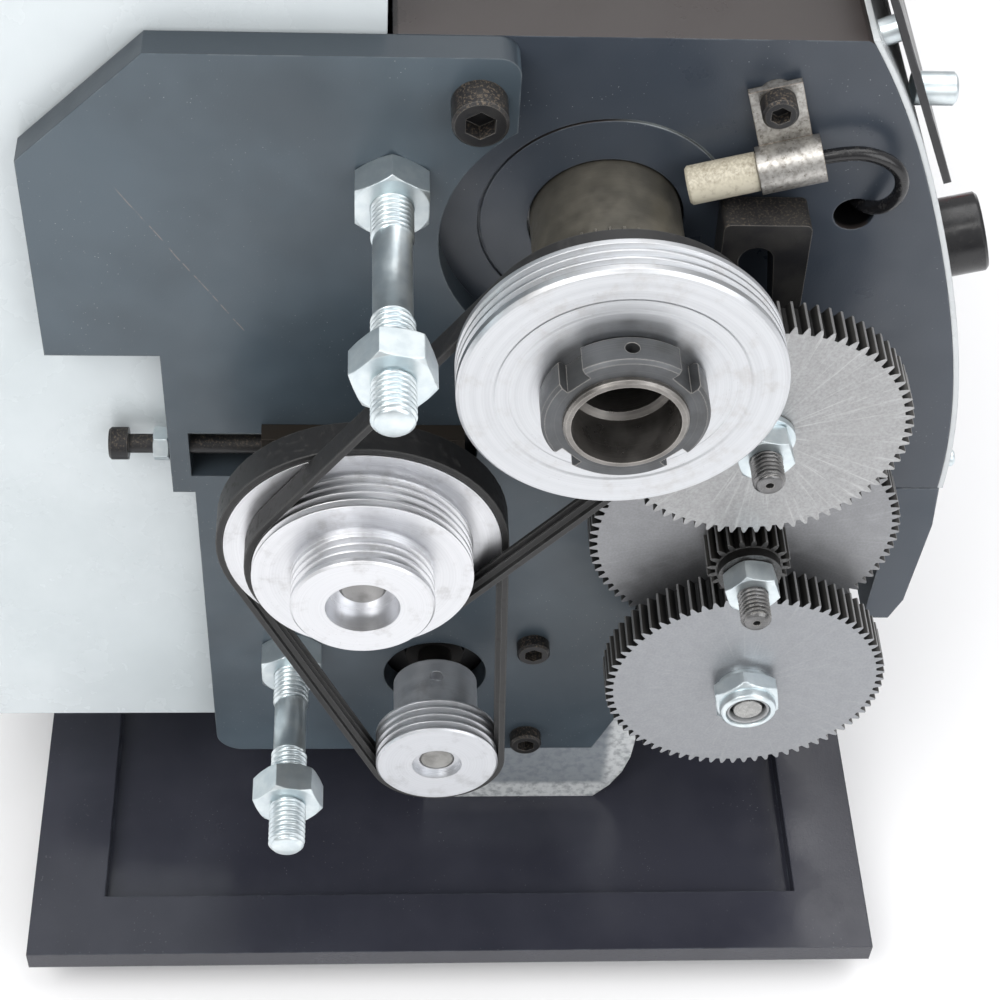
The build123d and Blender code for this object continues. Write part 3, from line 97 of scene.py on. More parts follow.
class Look:
    """One material: a Principled shader whose colour, roughness and bump come from small node chains."""

    def __init__(self, name, **sockets):
        self.material = bpy.data.materials.new(name)
        self.material.use_nodes = True
        self.tree = self.material.node_tree
        self.shader = self.tree.nodes["Principled BSDF"]
        for socket, value in sockets.items():
            self.shader.inputs[socket.replace("_", " ")].default_value = value
        coordinates = self.tree.nodes.new("ShaderNodeTexCoord")
        self.place = coordinates.outputs["Object"]
        self.facing = coordinates.outputs["Normal"]

    def node(self, kind, inputs=(), **settings):
        """A shader node, whose inputs are each linked to a socket or set to a value."""
        made = self.tree.nodes.new("ShaderNode" + kind)
        for setting, value in settings.items():
            setattr(made, setting, value)
        for socket, value in dict(inputs).items():
            if isinstance(value, bpy.types.NodeSocket):
                self.tree.links.new(value, made.inputs[socket])
            else:
                made.inputs[socket].default_value = value
        return made

    def math(self, operation, first, second=0.0, clamp=False):
        return self.node("Math", {0: first, 1: second}, operation=operation, use_clamp=clamp).outputs[0]

    def plus(self, first, second):
        return self.math("ADD", first, second)

    def minus(self, first, second):
        return self.math("SUBTRACT", first, second)

    def times(self, first, second):
        return self.math("MULTIPLY", first, second)

    def length(self, first, second):
        """Length of the hypotenuse of two sides."""
        squares = [self.math("POWER", side, 2.0) for side in (first, second)]
        return self.math("SQRT", self.plus(*squares))

    def split(self, vector):
        return self.node("SeparateXYZ", {0: vector}).outputs

    def stretched(self, x=1.0, y=1.0, z=1.0):
        """The place, scaled unevenly, so that a texture is drawn out."""
        return self.node("Mapping", {"Vector": self.place, "Scale": (x, y, z)}).outputs[0]

    def noise(self, scale, detail=3.0, roughness=0.55, at=None):
        """Noise from 0 to 1, whose features are about 1 / scale metres apart."""
        sockets = {"Vector": at or self.place, "Scale": scale, "Detail": detail, "Roughness": roughness}
        return self.node("TexNoise", sockets).outputs["Fac"]

    def line_noise(self, value, scale, detail=2.0):
        """Noise that varies with one number only, which draws lines."""
        sockets = {"W": value, "Scale": scale, "Detail": detail}
        return self.node("TexNoise", sockets, noise_dimensions="1D").outputs["Fac"]

    def cells(self, scale):
        """Distance to the nearest of scattered points, which draws specks."""
        return self.node("TexVoronoi", {"Vector": self.place, "Scale": scale}).outputs["Distance"]

    def between(self, value, start, end, low_value=0.0, high_value=1.0):
        """Maps start..end on to low_value..high_value, smoothly and clamped."""
        sockets = {"Value": value, "From Min": start, "From Max": end,
                   "To Min": low_value, "To Max": high_value}
        return self.node("MapRange", sockets, interpolation_type="SMOOTHSTEP").outputs[0]

    def mixed(self, share, first, second):
        """The first colour at share 0 and the second at share 1."""
        made = self.tree.nodes.new("ShaderNodeMix")
        made.data_type = "RGBA"
        for index, value in zip((0, 6, 7), (share, first, second)):
            if isinstance(value, bpy.types.NodeSocket):
                self.tree.links.new(value, made.inputs[index])
            else:
                made.inputs[index].default_value = value
        return made.outputs[2]

    def radius(self, centre):
        """Distance from an axis along X through (y, z) = centre."""
        _, y, z = self.split(self.place)
        return self.length(self.minus(y, centre[0]), self.minus(z, centre[1]))

    def turn(self, centre):
        """Angle about an axis along X through (y, z) = centre, in radians."""
        _, y, z = self.split(self.place)
        return self.math("ARCTAN2", self.minus(z, centre[1]), self.minus(y, centre[0]))

    def edges(self, radius):
        """1 on the part's sharp edges, from a rounded normal compared with the true one."""
        true = self.node("NewGeometry").outputs["Normal"]
        rounded = self.node("Bevel", {"Radius": radius}, samples=4).outputs[0]
        alike = self.node("VectorMath", {0: true, 1: rounded}, operation="DOT_PRODUCT").outputs["Value"]
        return self.between(alike, 0.995, 0.86)

    def paint(self, colour, roughness=None, height=None, distance=0.0002, strength=0.3, bevel=0.0):
        """Links the finished chains to the shader and gives the material."""
        for socket, value in (("Base Color", colour), ("Roughness", roughness)):
            if value is not None:
                self.tree.links.new(value, self.shader.inputs[socket])
        normal = None
        if bevel:
            normal = self.node("Bevel", {"Radius": bevel}, samples=4).outputs[0]
        if height is not None:
            bump = {"Height": height, "Distance": distance, "Strength": strength}
            if normal:
                bump["Normal"] = normal
            normal = self.node("Bump", bump).outputs[0]
        if normal:
            self.tree.links.new(normal, self.shader.inputs["Normal"])
        return self.material


# ----------------------------------------------------------------- materials
def painted(name, colour, second, chips, roughness=0.4, specks=0.5, scratch=None, worn=0.6, top=None,
            rear_face_light=None, ring=None, hole=None):
    """Satin paint with mottling, dust specks and worn edges.

    It may have one long scratch, a painted reflection on the faces that look up, painted light on the
    faces that look to the rear, a scribed circle round the spindle, and painted shade inside a hole.
    """
    look = Look(name)
    base = look.mixed(look.between(look.noise(14.0, 4.0), 0.35, 0.68), colour, second)
    dust = look.between(look.cells(700.0), 0.10, 0.05)
    patches = look.between(look.noise(45.0, 2.0), 0.45, 0.7)
    base = look.mixed(look.times(look.times(dust, patches), specks), base, rgb(190, 195, 195))
    wear = look.times(look.edges(0.0007), look.between(look.noise(160.0, 3.0), 0.42, 0.62))
    base = look.mixed(look.times(wear, worn), base, chips)
    if scratch:
        base = look.mixed(look.times(scratch_mask(look, *scratch), 0.4), base, rgb(150, 136, 126))
    # Painted reflection: faces that look up take the top colour.
    if top:
        base = look.mixed(look.between(look.split(look.facing)[2], 0.5, 0.68), base, top)
    # Painted light: faces that look to the rear take a lighter colour.
    if rear_face_light:
        base = look.mixed(look.between(look.split(look.facing)[1], 0.6, 0.9), base, rear_face_light)
    if ring:
        base = look.mixed(scribed_mask(look, ring), base, rgb(168, 176, 178))
    # Painted shade: the inside of the hole is coloured near black.
    if hole:
        base = look.mixed(hole_shade_mask(look, hole), base, rgb(10, 10, 11))
    gloss = look.between(look.noise(60.0, 5.0), 0.3, 0.75, roughness - 0.07, roughness + 0.1)
    return look.paint(base, gloss, look.noise(1800.0, 2.0), 0.00008, 0.25, 0.0005)


def scribed_mask(look, ring):
    """A fine circle round the spindle on the end face, worn away on the rear half."""
    x, y, _ = look.split(look.place)
    off = look.math("ABSOLUTE", look.minus(look.radius(SPINDLE), ring))
    line = look.times(look.between(off, 0.00042, 0.00034),
                      look.between(x, END_FACE + 0.0015, END_FACE + 0.0010))
    worn_away = look.between(y, SPINDLE[0] + 0.004, SPINDLE[0] - 0.012)
    faint = look.between(look.noise(50.0), 0.3, 0.6, 0.1, 0.8)
    return look.times(look.times(line, faint), worn_away)


def hole_shade_mask(look, hole):
    """Where painted shade goes: the inside of the hole along X whose centre is hole, from the end face inwards."""
    return look.times(look.between(look.radius(hole), 0.0053, 0.0050),
                      look.between(look.split(look.place)[0], END_FACE + 0.0002, END_FACE + 0.002))


def scratch_mask(look, start, end):
    """A thin broken line between two (y, z) points on a face across X."""
    _, y, z = look.split(look.place)
    length = hypot(end[0] - start[0], end[1] - start[1])
    along = ((end[0] - start[0]) / length, (end[1] - start[1]) / length)
    dy, dz = look.minus(y, start[0]), look.minus(z, start[1])
    travel = look.plus(look.times(dy, along[0]), look.times(dz, along[1]))
    away = look.minus(look.times(dy, along[1]), look.times(dz, along[0]))
    wander = look.times(look.minus(look.line_noise(travel, 60.0), 0.5), 0.0012)
    line = look.between(look.math("ABSOLUTE", look.plus(away, wander)), 0.00022, 0.00008)
    inside = look.times(look.between(travel, 0.0, 0.004), look.between(travel, length, length - 0.004))
    broken = look.between(look.line_noise(travel, 260.0), 0.4, 0.55)
    return look.times(look.times(line, inside), broken)


def bed_iron():
    """Painted casting whose ways and left end face are machined bare, with a painted shadow of the motor plate on
    that face.
    """
    look = Look("bed_iron")
    x, y, z = look.split(look.place)
    paint = look.mixed(look.between(look.noise(20.0), 0.35, 0.7), rgb(46, 56, 68), rgb(60, 72, 84))
    rough_iron = look.mixed(look.between(look.noise(420.0, 4.0), 0.3, 0.6), rgb(168, 172, 175),
                            rgb(222, 225, 226))
    # Painted shadow of the motor plate: the bare end face is darkened except in a strip along its bottom and one
    # along its side.
    unshadowed_strip = look.math("MAXIMUM", look.between(z, low("bed").z + 0.0095, low("bed").z + 0.0065),
                       look.between(y, SPINDLE[0] - 0.018, SPINDLE[0] - 0.0215))
    rough_iron = look.mixed(look.times(look.minus(1.0, unshadowed_strip), 0.8), rough_iron, rgb(122, 130, 138))
    ground = look.mixed(look.line_noise(x, 900.0), rgb(140, 140, 138), rgb(182, 182, 180))
    way_top = high("bed").z - 0.0075
    up = look.split(look.facing)[2]
    on_ways = look.times(look.between(z, way_top - 0.0006, way_top), look.between(up, 0.2, 0.5))
    on_end = look.between(x, low("bed").x + 0.0004, low("bed").x + 0.0002)
    base = look.mixed(on_end, look.mixed(on_ways, paint, ground), rough_iron)
    gloss = look.minus(0.5, look.times(on_ways, 0.25))
    look.tree.links.new(look.times(on_ways, 0.85), look.shader.inputs["Metallic"])
    grain = look.plus(look.noise(700.0, 4.0), look.times(look.noise(90.0, 3.0), on_end))
    return look.paint(base, gloss, grain, 0.0004, 0.4, 0.0006)


def turned_metal(name, centre, light, dark, roughness, soil=0.35, metallic=1.0, ring=2600.0):
    """Metal turned about an axis along X: fine rings on faces and barrels, and a little soil."""
    look = Look(name, Metallic=metallic, Anisotropic=0.3)
    look.tree.links.new(look.node("Tangent", direction_type="RADIAL", axis="X").outputs[0],
                        look.shader.inputs["Tangent"])
    x = look.split(look.place)[0]
    across = look.plus(look.radius(centre), x)
    rings = look.line_noise(across, ring, 3.0)
    broad = look.line_noise(across, ring * 0.14, 2.0)
    base = look.mixed(look.between(rings, 0.3, 0.75), light, tuple(v * 0.93 for v in light[:3]) + (1.0,))
    patch = look.times(look.between(look.noise(130.0, 5.0, 0.65), 0.5, 0.74), soil)
    base = look.mixed(patch, base, dark)
    pits = look.times(look.between(look.cells(900.0), 0.13, 0.05),
                      look.between(look.noise(80.0, 2.0), 0.5, 0.66))
    base = look.mixed(look.times(pits, soil), base, rgb(70, 66, 60))
    gloss = look.between(broad, 0.25, 0.8, roughness - 0.06, roughness + 0.08)
    return look.paint(base, gloss, rings, 0.00003, 0.35, 0.0003)


def gear_steel(name, centre, light, dark, streaks, root):
    """Milled gear: plain or streaked faces, and flanks between teeth that stand on the root radius, darkened
    towards the root as painted shade.
    """
    look = Look(name, Metallic=0.75)
    radius, turn = look.radius(centre), look.turn(centre)
    ray = look.node("CombineXYZ", {0: look.times(turn, 22.0), 1: look.times(radius, 34.0)})
    rays = look.noise(1.0, 5.0, 0.7, ray.outputs[0])
    fine = look.noise(1500.0, 3.0)
    face = look.mixed(look.between(fine, 0.3, 0.7), light, dark)
    face = look.mixed(look.times(look.between(rays, 0.52, 0.7), streaks), face, rgb(206, 207, 207))
    face = look.mixed(look.times(look.between(rays, 0.45, 0.3), streaks * 0.3), face, rgb(120, 119, 117))
    face = look.mixed(look.times(look.between(look.noise(60.0, 4.0), 0.52, 0.75), 0.3), face, dark)
    side = look.between(look.math("ABSOLUTE", look.split(look.facing)[0]), 0.7, 0.4)
    # Painted shade between the teeth: flanks darken towards the root, while the tip lands keep a steel grey.
    depth = look.between(radius, root + 0.0022, root + 0.0004)
    flank_shade = look.mixed(depth, rgb(74, 72, 69), rgb(24, 23, 22))
    land = look.between(radius, root + 0.00195, root + 0.00212)
    flank_shade = look.mixed(land, flank_shade, rgb(146, 146, 146))
    base = look.mixed(look.times(side, 0.92), face, flank_shade)
    gloss = look.between(look.noise(300.0, 3.0), 0.3, 0.7, 0.36, 0.5)
    height = look.plus(look.times(rays, streaks), look.times(fine, 0.5))
    return look.paint(base, gloss, height, 0.00005, 0.3, 0.00025)


def dark_steel(name, centre, colour, second, roughness=0.36, metallic=0.85, lines=0.35):
    """Oiled dark steel with fine turning lines and brown stains."""
    look = Look(name, Metallic=metallic)
    across = look.plus(look.radius(centre), look.split(look.place)[0])
    rings = look.line_noise(across, 3000.0, 3.0)
    base = look.mixed(look.between(look.noise(110.0, 4.0), 0.35, 0.7), colour, second)
    base = look.mixed(look.times(look.between(rings, 0.4, 0.8), lines), base, rgb(150, 146, 140))
    base = look.mixed(look.times(look.edges(0.0004), 0.6), base, rgb(190, 186, 180))
    gloss = look.between(look.noise(200.0, 3.0), 0.3, 0.7, roughness - 0.08, roughness + 0.1)
    return look.paint(base, gloss, rings, 0.00004, 0.3, 0.0003)


def two_tone_steel(name, centre, rear, front, split):
    """Turned steel that is bright at its front end and dark behind."""
    look = Look(name, Metallic=0.7)
    x = look.split(look.place)[0]
    rings = look.line_noise(look.plus(look.radius(centre), x), 3000.0, 3.0)
    base = look.mixed(look.between(x, split, split - 0.002), rear, front)
    base = look.mixed(look.times(look.between(look.noise(140.0, 4.0), 0.45, 0.7), 0.4), base, rgb(60, 57, 54))
    return look.paint(base, look.between(rings, 0.2, 0.8, 0.36, 0.52), rings, 0.00004, 0.3, 0.0003)


def black_oxide(name, dust_share=0.75):
    """Blackened steel with brown dust lying on what faces up."""
    look = Look(name, Metallic=0.35)
    up = look.between(look.split(look.facing)[2], 0.15, 0.8)
    grains = look.between(look.noise(1500.0, 5.0, 0.7), 0.5, 0.64)
    base = look.mixed(look.between(look.noise(90.0, 3.0), 0.4, 0.7), rgb(32, 32, 34), rgb(50, 49, 48))
    base = look.mixed(look.times(look.edges(0.0004), 0.5), base, rgb(128, 124, 118))
    dust = look.times(look.times(up, grains), dust_share)
    base = look.mixed(dust, base, rgb(126, 112, 96))
    gloss = look.plus(0.36, look.times(up, 0.3))
    return look.paint(base, gloss, look.noise(1300.0, 4.0), 0.0001, 0.4, 0.0003)


def zinc():
    """Bright zinc plate, bluish, with a little pale bloom."""
    look = Look("bright_zinc", Metallic=0.92)
    base = look.mixed(look.between(look.noise(220.0, 3.0), 0.35, 0.7), rgb(204, 214, 218), rgb(220, 228, 230))
    bloom = look.times(look.between(look.noise(1400.0, 5.0, 0.7), 0.6, 0.74), 0.28)
    base = look.mixed(bloom, base, rgb(176, 176, 168))
    gloss = look.between(look.noise(400.0, 4.0), 0.3, 0.75, 0.32, 0.38)
    return look.paint(base, gloss, look.noise(1100.0, 3.0), 0.00003, 0.25, 0.0004)


def ground_steel(name, colour=rgb(176, 177, 178), roughness=0.3, direction=(40.0, 900.0, 900.0)):
    """Bare steel with grinding lines drawn out along one way."""
    look = Look(name, Metallic=1.0)
    lines = look.noise(1.0, 4.0, 0.6, look.stretched(*direction))
    base = look.mixed(look.between(lines, 0.35, 0.7), colour, tuple(v * 0.78 for v in colour[:3]) + (1.0,))
    base = look.mixed(look.times(look.between(look.noise(70.0, 4.0), 0.52, 0.75), 0.35), base,
                      rgb(112, 104, 96))
    gloss = look.between(lines, 0.3, 0.7, roughness - 0.06, roughness + 0.1)
    return look.paint(base, gloss, lines, 0.00004, 0.3, 0.0005)


def chrome():
    """Polished plated steel, a little smeared."""
    look = Look("polished_steel", Metallic=1.0)
    smear = look.noise(60.0, 4.0)
    base = look.mixed(look.between(smear, 0.4, 0.75), rgb(214, 216, 218), rgb(190, 192, 194))
    return look.paint(base, look.between(smear, 0.3, 0.75, 0.07, 0.2), look.noise(500.0), 0.00002, 0.2,
                      0.0006)


def rubber(name, shade=rgb(30, 30, 31), roughness=0.55, dust=0.25):
    """Black rubber, greyed in patches, with a painted sheen along its edges."""
    look = Look(name)
    worn = look.between(look.noise(500.0, 4.0), 0.5, 0.72)
    base = look.mixed(look.times(worn, dust), shade, rgb(110, 108, 104))
    # Painted sheen: sharp edges are greyed.
    base = look.mixed(look.times(look.edges(0.0004), 0.35), base, rgb(120, 120, 118))
    return look.paint(base, look.between(worn, 0.0, 1.0, roughness - 0.1, roughness + 0.12),
                      look.noise(2500.0, 2.0), 0.00006, 0.4)


def plastic(name, colour, soil, roughness=0.32, soiled=0.4, dusty=0.0):
    """Moulded plastic with soiled patches, and grime on what faces up if it is dusty."""
    look = Look(name)
    up = look.times(look.between(look.split(look.facing)[2], 0.1, 0.9), dusty)
    patch = look.between(look.noise(700.0, 5.0, 0.65), 0.48, 0.75)
    patch = look.plus(patch, look.times(up, look.between(look.noise(1600.0, 3.0), 0.35, 0.6)))
    base = look.mixed(look.math("MULTIPLY", patch, soiled, clamp=True), colour, soil)
    gloss = look.between(look.noise(150.0, 3.0), 0.3, 0.7, roughness - 0.06, roughness + 0.12)
    return look.paint(base, gloss, look.noise(1500.0, 2.0), 0.00004, 0.3, 0.0004)


def clip_metal():
    """Thin soft metal, scuffed, with brown dirt in patches."""
    look = Look("clip_metal", Metallic=0.8)
    base = look.mixed(look.between(look.noise(900.0, 4.0), 0.35, 0.7), rgb(184, 182, 178), rgb(146, 143, 138))
    dirt = look.between(look.noise(800.0, 6.0, 0.75), 0.54, 0.68)
    base = look.mixed(look.times(dirt, 0.7), base, rgb(84, 74, 60))
    base = look.mixed(look.times(look.edges(0.0005), 0.7), base, rgb(96, 76, 56))
    return look.paint(base, look.between(dirt, 0.0, 1.0, 0.36, 0.62), look.noise(900.0, 3.0), 0.00008, 0.4,
                      0.0003)


def clear_plastic():
    """Clear sheet with a slight haze."""
    look = Look("clear_shield", Transmission_Weight=0.94, IOR=1.46, Alpha=1.0)
    haze = look.noise(40.0, 5.0)
    base = look.mixed(look.between(haze, 0.4, 0.8), rgb(238, 243, 244), rgb(218, 226, 228))
    return look.paint(base, look.between(haze, 0.35, 0.8, 0.04, 0.14))


def dial(name, joint, marks):
    """Polished wheel whose graduated collar has engraved lines round it, by angle about the joint's axis."""
    position, direction = Vector(JOINTS[joint]["pos_m"]), Vector(JOINTS[joint]["axis"])
    look = Look(name, Metallic=1.0)
    x, y, z = look.split(look.place)
    if abs(direction.x) > 0.5:
        first, second = look.minus(y, position.y), look.minus(z, position.z)
    else:
        first, second = look.minus(x, position.x), look.minus(z, position.z)
    turn = look.times(look.math("ARCTAN2", second, first), marks / (2 * pi))
    off = look.math("ABSOLUTE", look.minus(look.math("FRACT", turn), 0.5))
    line = look.between(off, 0.07, 0.04)
    band = look.between(look.length(first, second), 0.0155, 0.0152)
    smear = look.noise(60.0, 4.0)
    base = look.mixed(look.between(smear, 0.4, 0.75), rgb(214, 216, 218), rgb(190, 192, 194))
    base = look.mixed(look.times(look.times(line, band), 0.85), base, rgb(40, 40, 40))
    return look.paint(base, look.between(smear, 0.3, 0.75, 0.12, 0.25), look.noise(500.0), 0.00002, 0.2,
                      0.0006)


# --------------------------------------------------------------- mesh makers
def add_mesh(name, points, faces, look, body, smooth=True, crease=35.0):
    """A new object of one material that rides on a body, or on none."""
    mesh = bpy.data.meshes.new(name)
    mesh.from_pydata(points, [], faces)
    mesh.update()
    piece = bpy.data.objects.new(name, mesh)
    bpy.context.scene.collection.objects.link(piece)
    mesh.materials.append(look)
    if smooth:
        mesh.shade_smooth()
        mesh.set_sharp_from_angle(angle=radians(crease))
    if body:
        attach(piece, body)
    return piece


def tube_faces(rows, around, closed_rows=False):
    """Quads of a grid of rows of points, each row closed round."""
    faces = []
    count = rows if closed_rows else rows - 1
    for row in range(count):
        for k in range(around):
            a, b = row * around + k, row * around + (k + 1) % around
            c, d = ((row + 1) % rows) * around + (k + 1) % around, ((row + 1) % rows) * around + k
            faces.append((a, b, c, d))
    return faces


def ring_points(x, centre, radius_at, around):
    """Points round an axis along X, whose radius is a number or depends on the angle."""
    points = []
    for k in range(around):
        angle = 2 * pi * k / around
        r = radius_at(angle) if callable(radius_at) else radius_at
        points.append((x, centre[0] + r * cos(angle), centre[1] + r * sin(angle)))
    return points


def turned_mesh(name, profile, centre, look, body, around=64):
    """Revolves (x, radius) points about an axis along X, with flat ends."""
    points = []
    for x, radius in profile:
        points += ring_points(x, centre, radius, around)
    faces = tube_faces(len(profile), around)
    faces.append(tuple(reversed(range(around))))
    last = (len(profile) - 1) * around
    faces.append(tuple(last + k for k in range(around)))
    return add_mesh(name, points, faces, look, body)


def thread_radius(x, angle, thread, outer):
    """Radius of a 60 degree thread with flat crests and rounded roots."""
    pitch, depth = thread
    phase = (x / pitch - angle / (2 * pi)) % 1.0
    groove = 0.5 - 0.5 * cos(2 * pi * phase)
    return outer - depth * min(1.0, max(0.0, 1.35 * groove - 0.2))


def rod_rows(stretches, pitch):
    """Rows of (x, radius, threaded) along a rod, from (x0, x1, radius, threaded) stretches."""
    rows = []
    for start, end, radius, threaded in stretches:
        steps = max(2, round(abs(end - start) / (pitch / 9))) if threaded else 2
        for step in range(steps + 1):
            rows.append((start + (end - start) * step / steps, radius, threaded))
    return rows


def threaded_rod(name, stretches, centre, thread, look, body, around=36, hole=0.0):
    """A rod along X with a rolled thread on some stretches, a chamfered end and, if asked, a centre hole."""
    rows = rod_rows(stretches, thread[0])
    first = rows[0][0]
    points = []
    for x, radius, threaded in rows:
        chamfer = radius - 1.1 * MM + abs(x - first)

        def radius_at(angle):
            full = thread_radius(x, angle, thread, radius) if threaded else radius
            return min(full, chamfer)

        points += ring_points(x, centre, radius_at, around)
    faces = tube_faces(len(rows), around)
    end_row = (len(rows) - 1) * around
    faces.append(tuple(end_row + k for k in range(around)))
    if hole:
        base = len(points)
        for depth, r in ((0.0, hole), (1.2 * MM, hole * 0.8), (6.0 * MM, hole * 0.8)):
            points += ring_points(first + depth, centre, r, around)
        for k in range(around):
            faces.append((k, base + k, base + (k + 1) % around, (k + 1) % around))
        faces += [tuple(base + v for v in reversed(face)) for face in tube_faces(3, around)]
        faces.append(tuple(base + 2 * around + k for k in reversed(range(around))))
    else:
        faces.append(tuple(reversed(range(around))))
    return add_mesh(name, points, [tuple(reversed(face)) for face in faces], look, body, crease=50.0)


def hexagon_radius(half_flats, angle, turn):
    """Distance from a hexagon's centre to its side, at an angle."""
    sector = (angle - turn) % (pi / 3) - pi / 6
    return half_flats / cos(sector)


def hex_nut(name, flats, x, centre, bore, look, body, turn=0.0, around=96):
    """A nut along X between x[0] and x[1], with both ends chamfered at 30 degrees."""
    half = flats / 2
    slope = tan(radians(30))
    steps = [step * MM for step in (0.0, 0.3, 0.6, 0.9, 1.2, 1.6)]
    profile = [(x[0] + step, half * 0.96 + step / slope) for step in steps]
    profile += [(x[1] - step, half * 0.96 + step / slope) for step in reversed(steps)]
    mouth = bore + 0.6 * MM
    points = ring_points(x[0] + 0.6 * MM, centre, bore, around) + ring_points(x[0], centre, mouth, around)
    for x_here, limit in profile:
        def side(angle):
            return min(hexagon_radius(half, angle, turn), limit)

        points += ring_points(x_here, centre, side, around)
    points += ring_points(x[1], centre, mouth, around) + ring_points(x[1] - 0.6 * MM, centre, bore, around)
    faces = tube_faces(len(profile) + 4, around, closed_rows=True)
    return add_mesh(name, points, [tuple(reversed(face)) for face in faces], look, body, crease=28.0)


# ----------------------------------------------------------------- CAD looks
# Places on the end face, as (y, z).
PLATE_SCRATCH = ((SPINDLE[0] + 0.1146, SPINDLE[1] + 0.0161), (SPINDLE[0] + 0.0853, SPINDLE[1] - 0.0326))
CABLE_HOLE = (SPINDLE[0] - 0.0595, SPINDLE[1] + 0.0026)
SCRIBED_RADIUS = 0.0303
# Where the bright front ends of the tensioner's block and the motor's shaft begin, along X.
BLOCK_FACE = END_FACE - 0.029
SHAFT_SHOULDER = END_FACE - 0.030

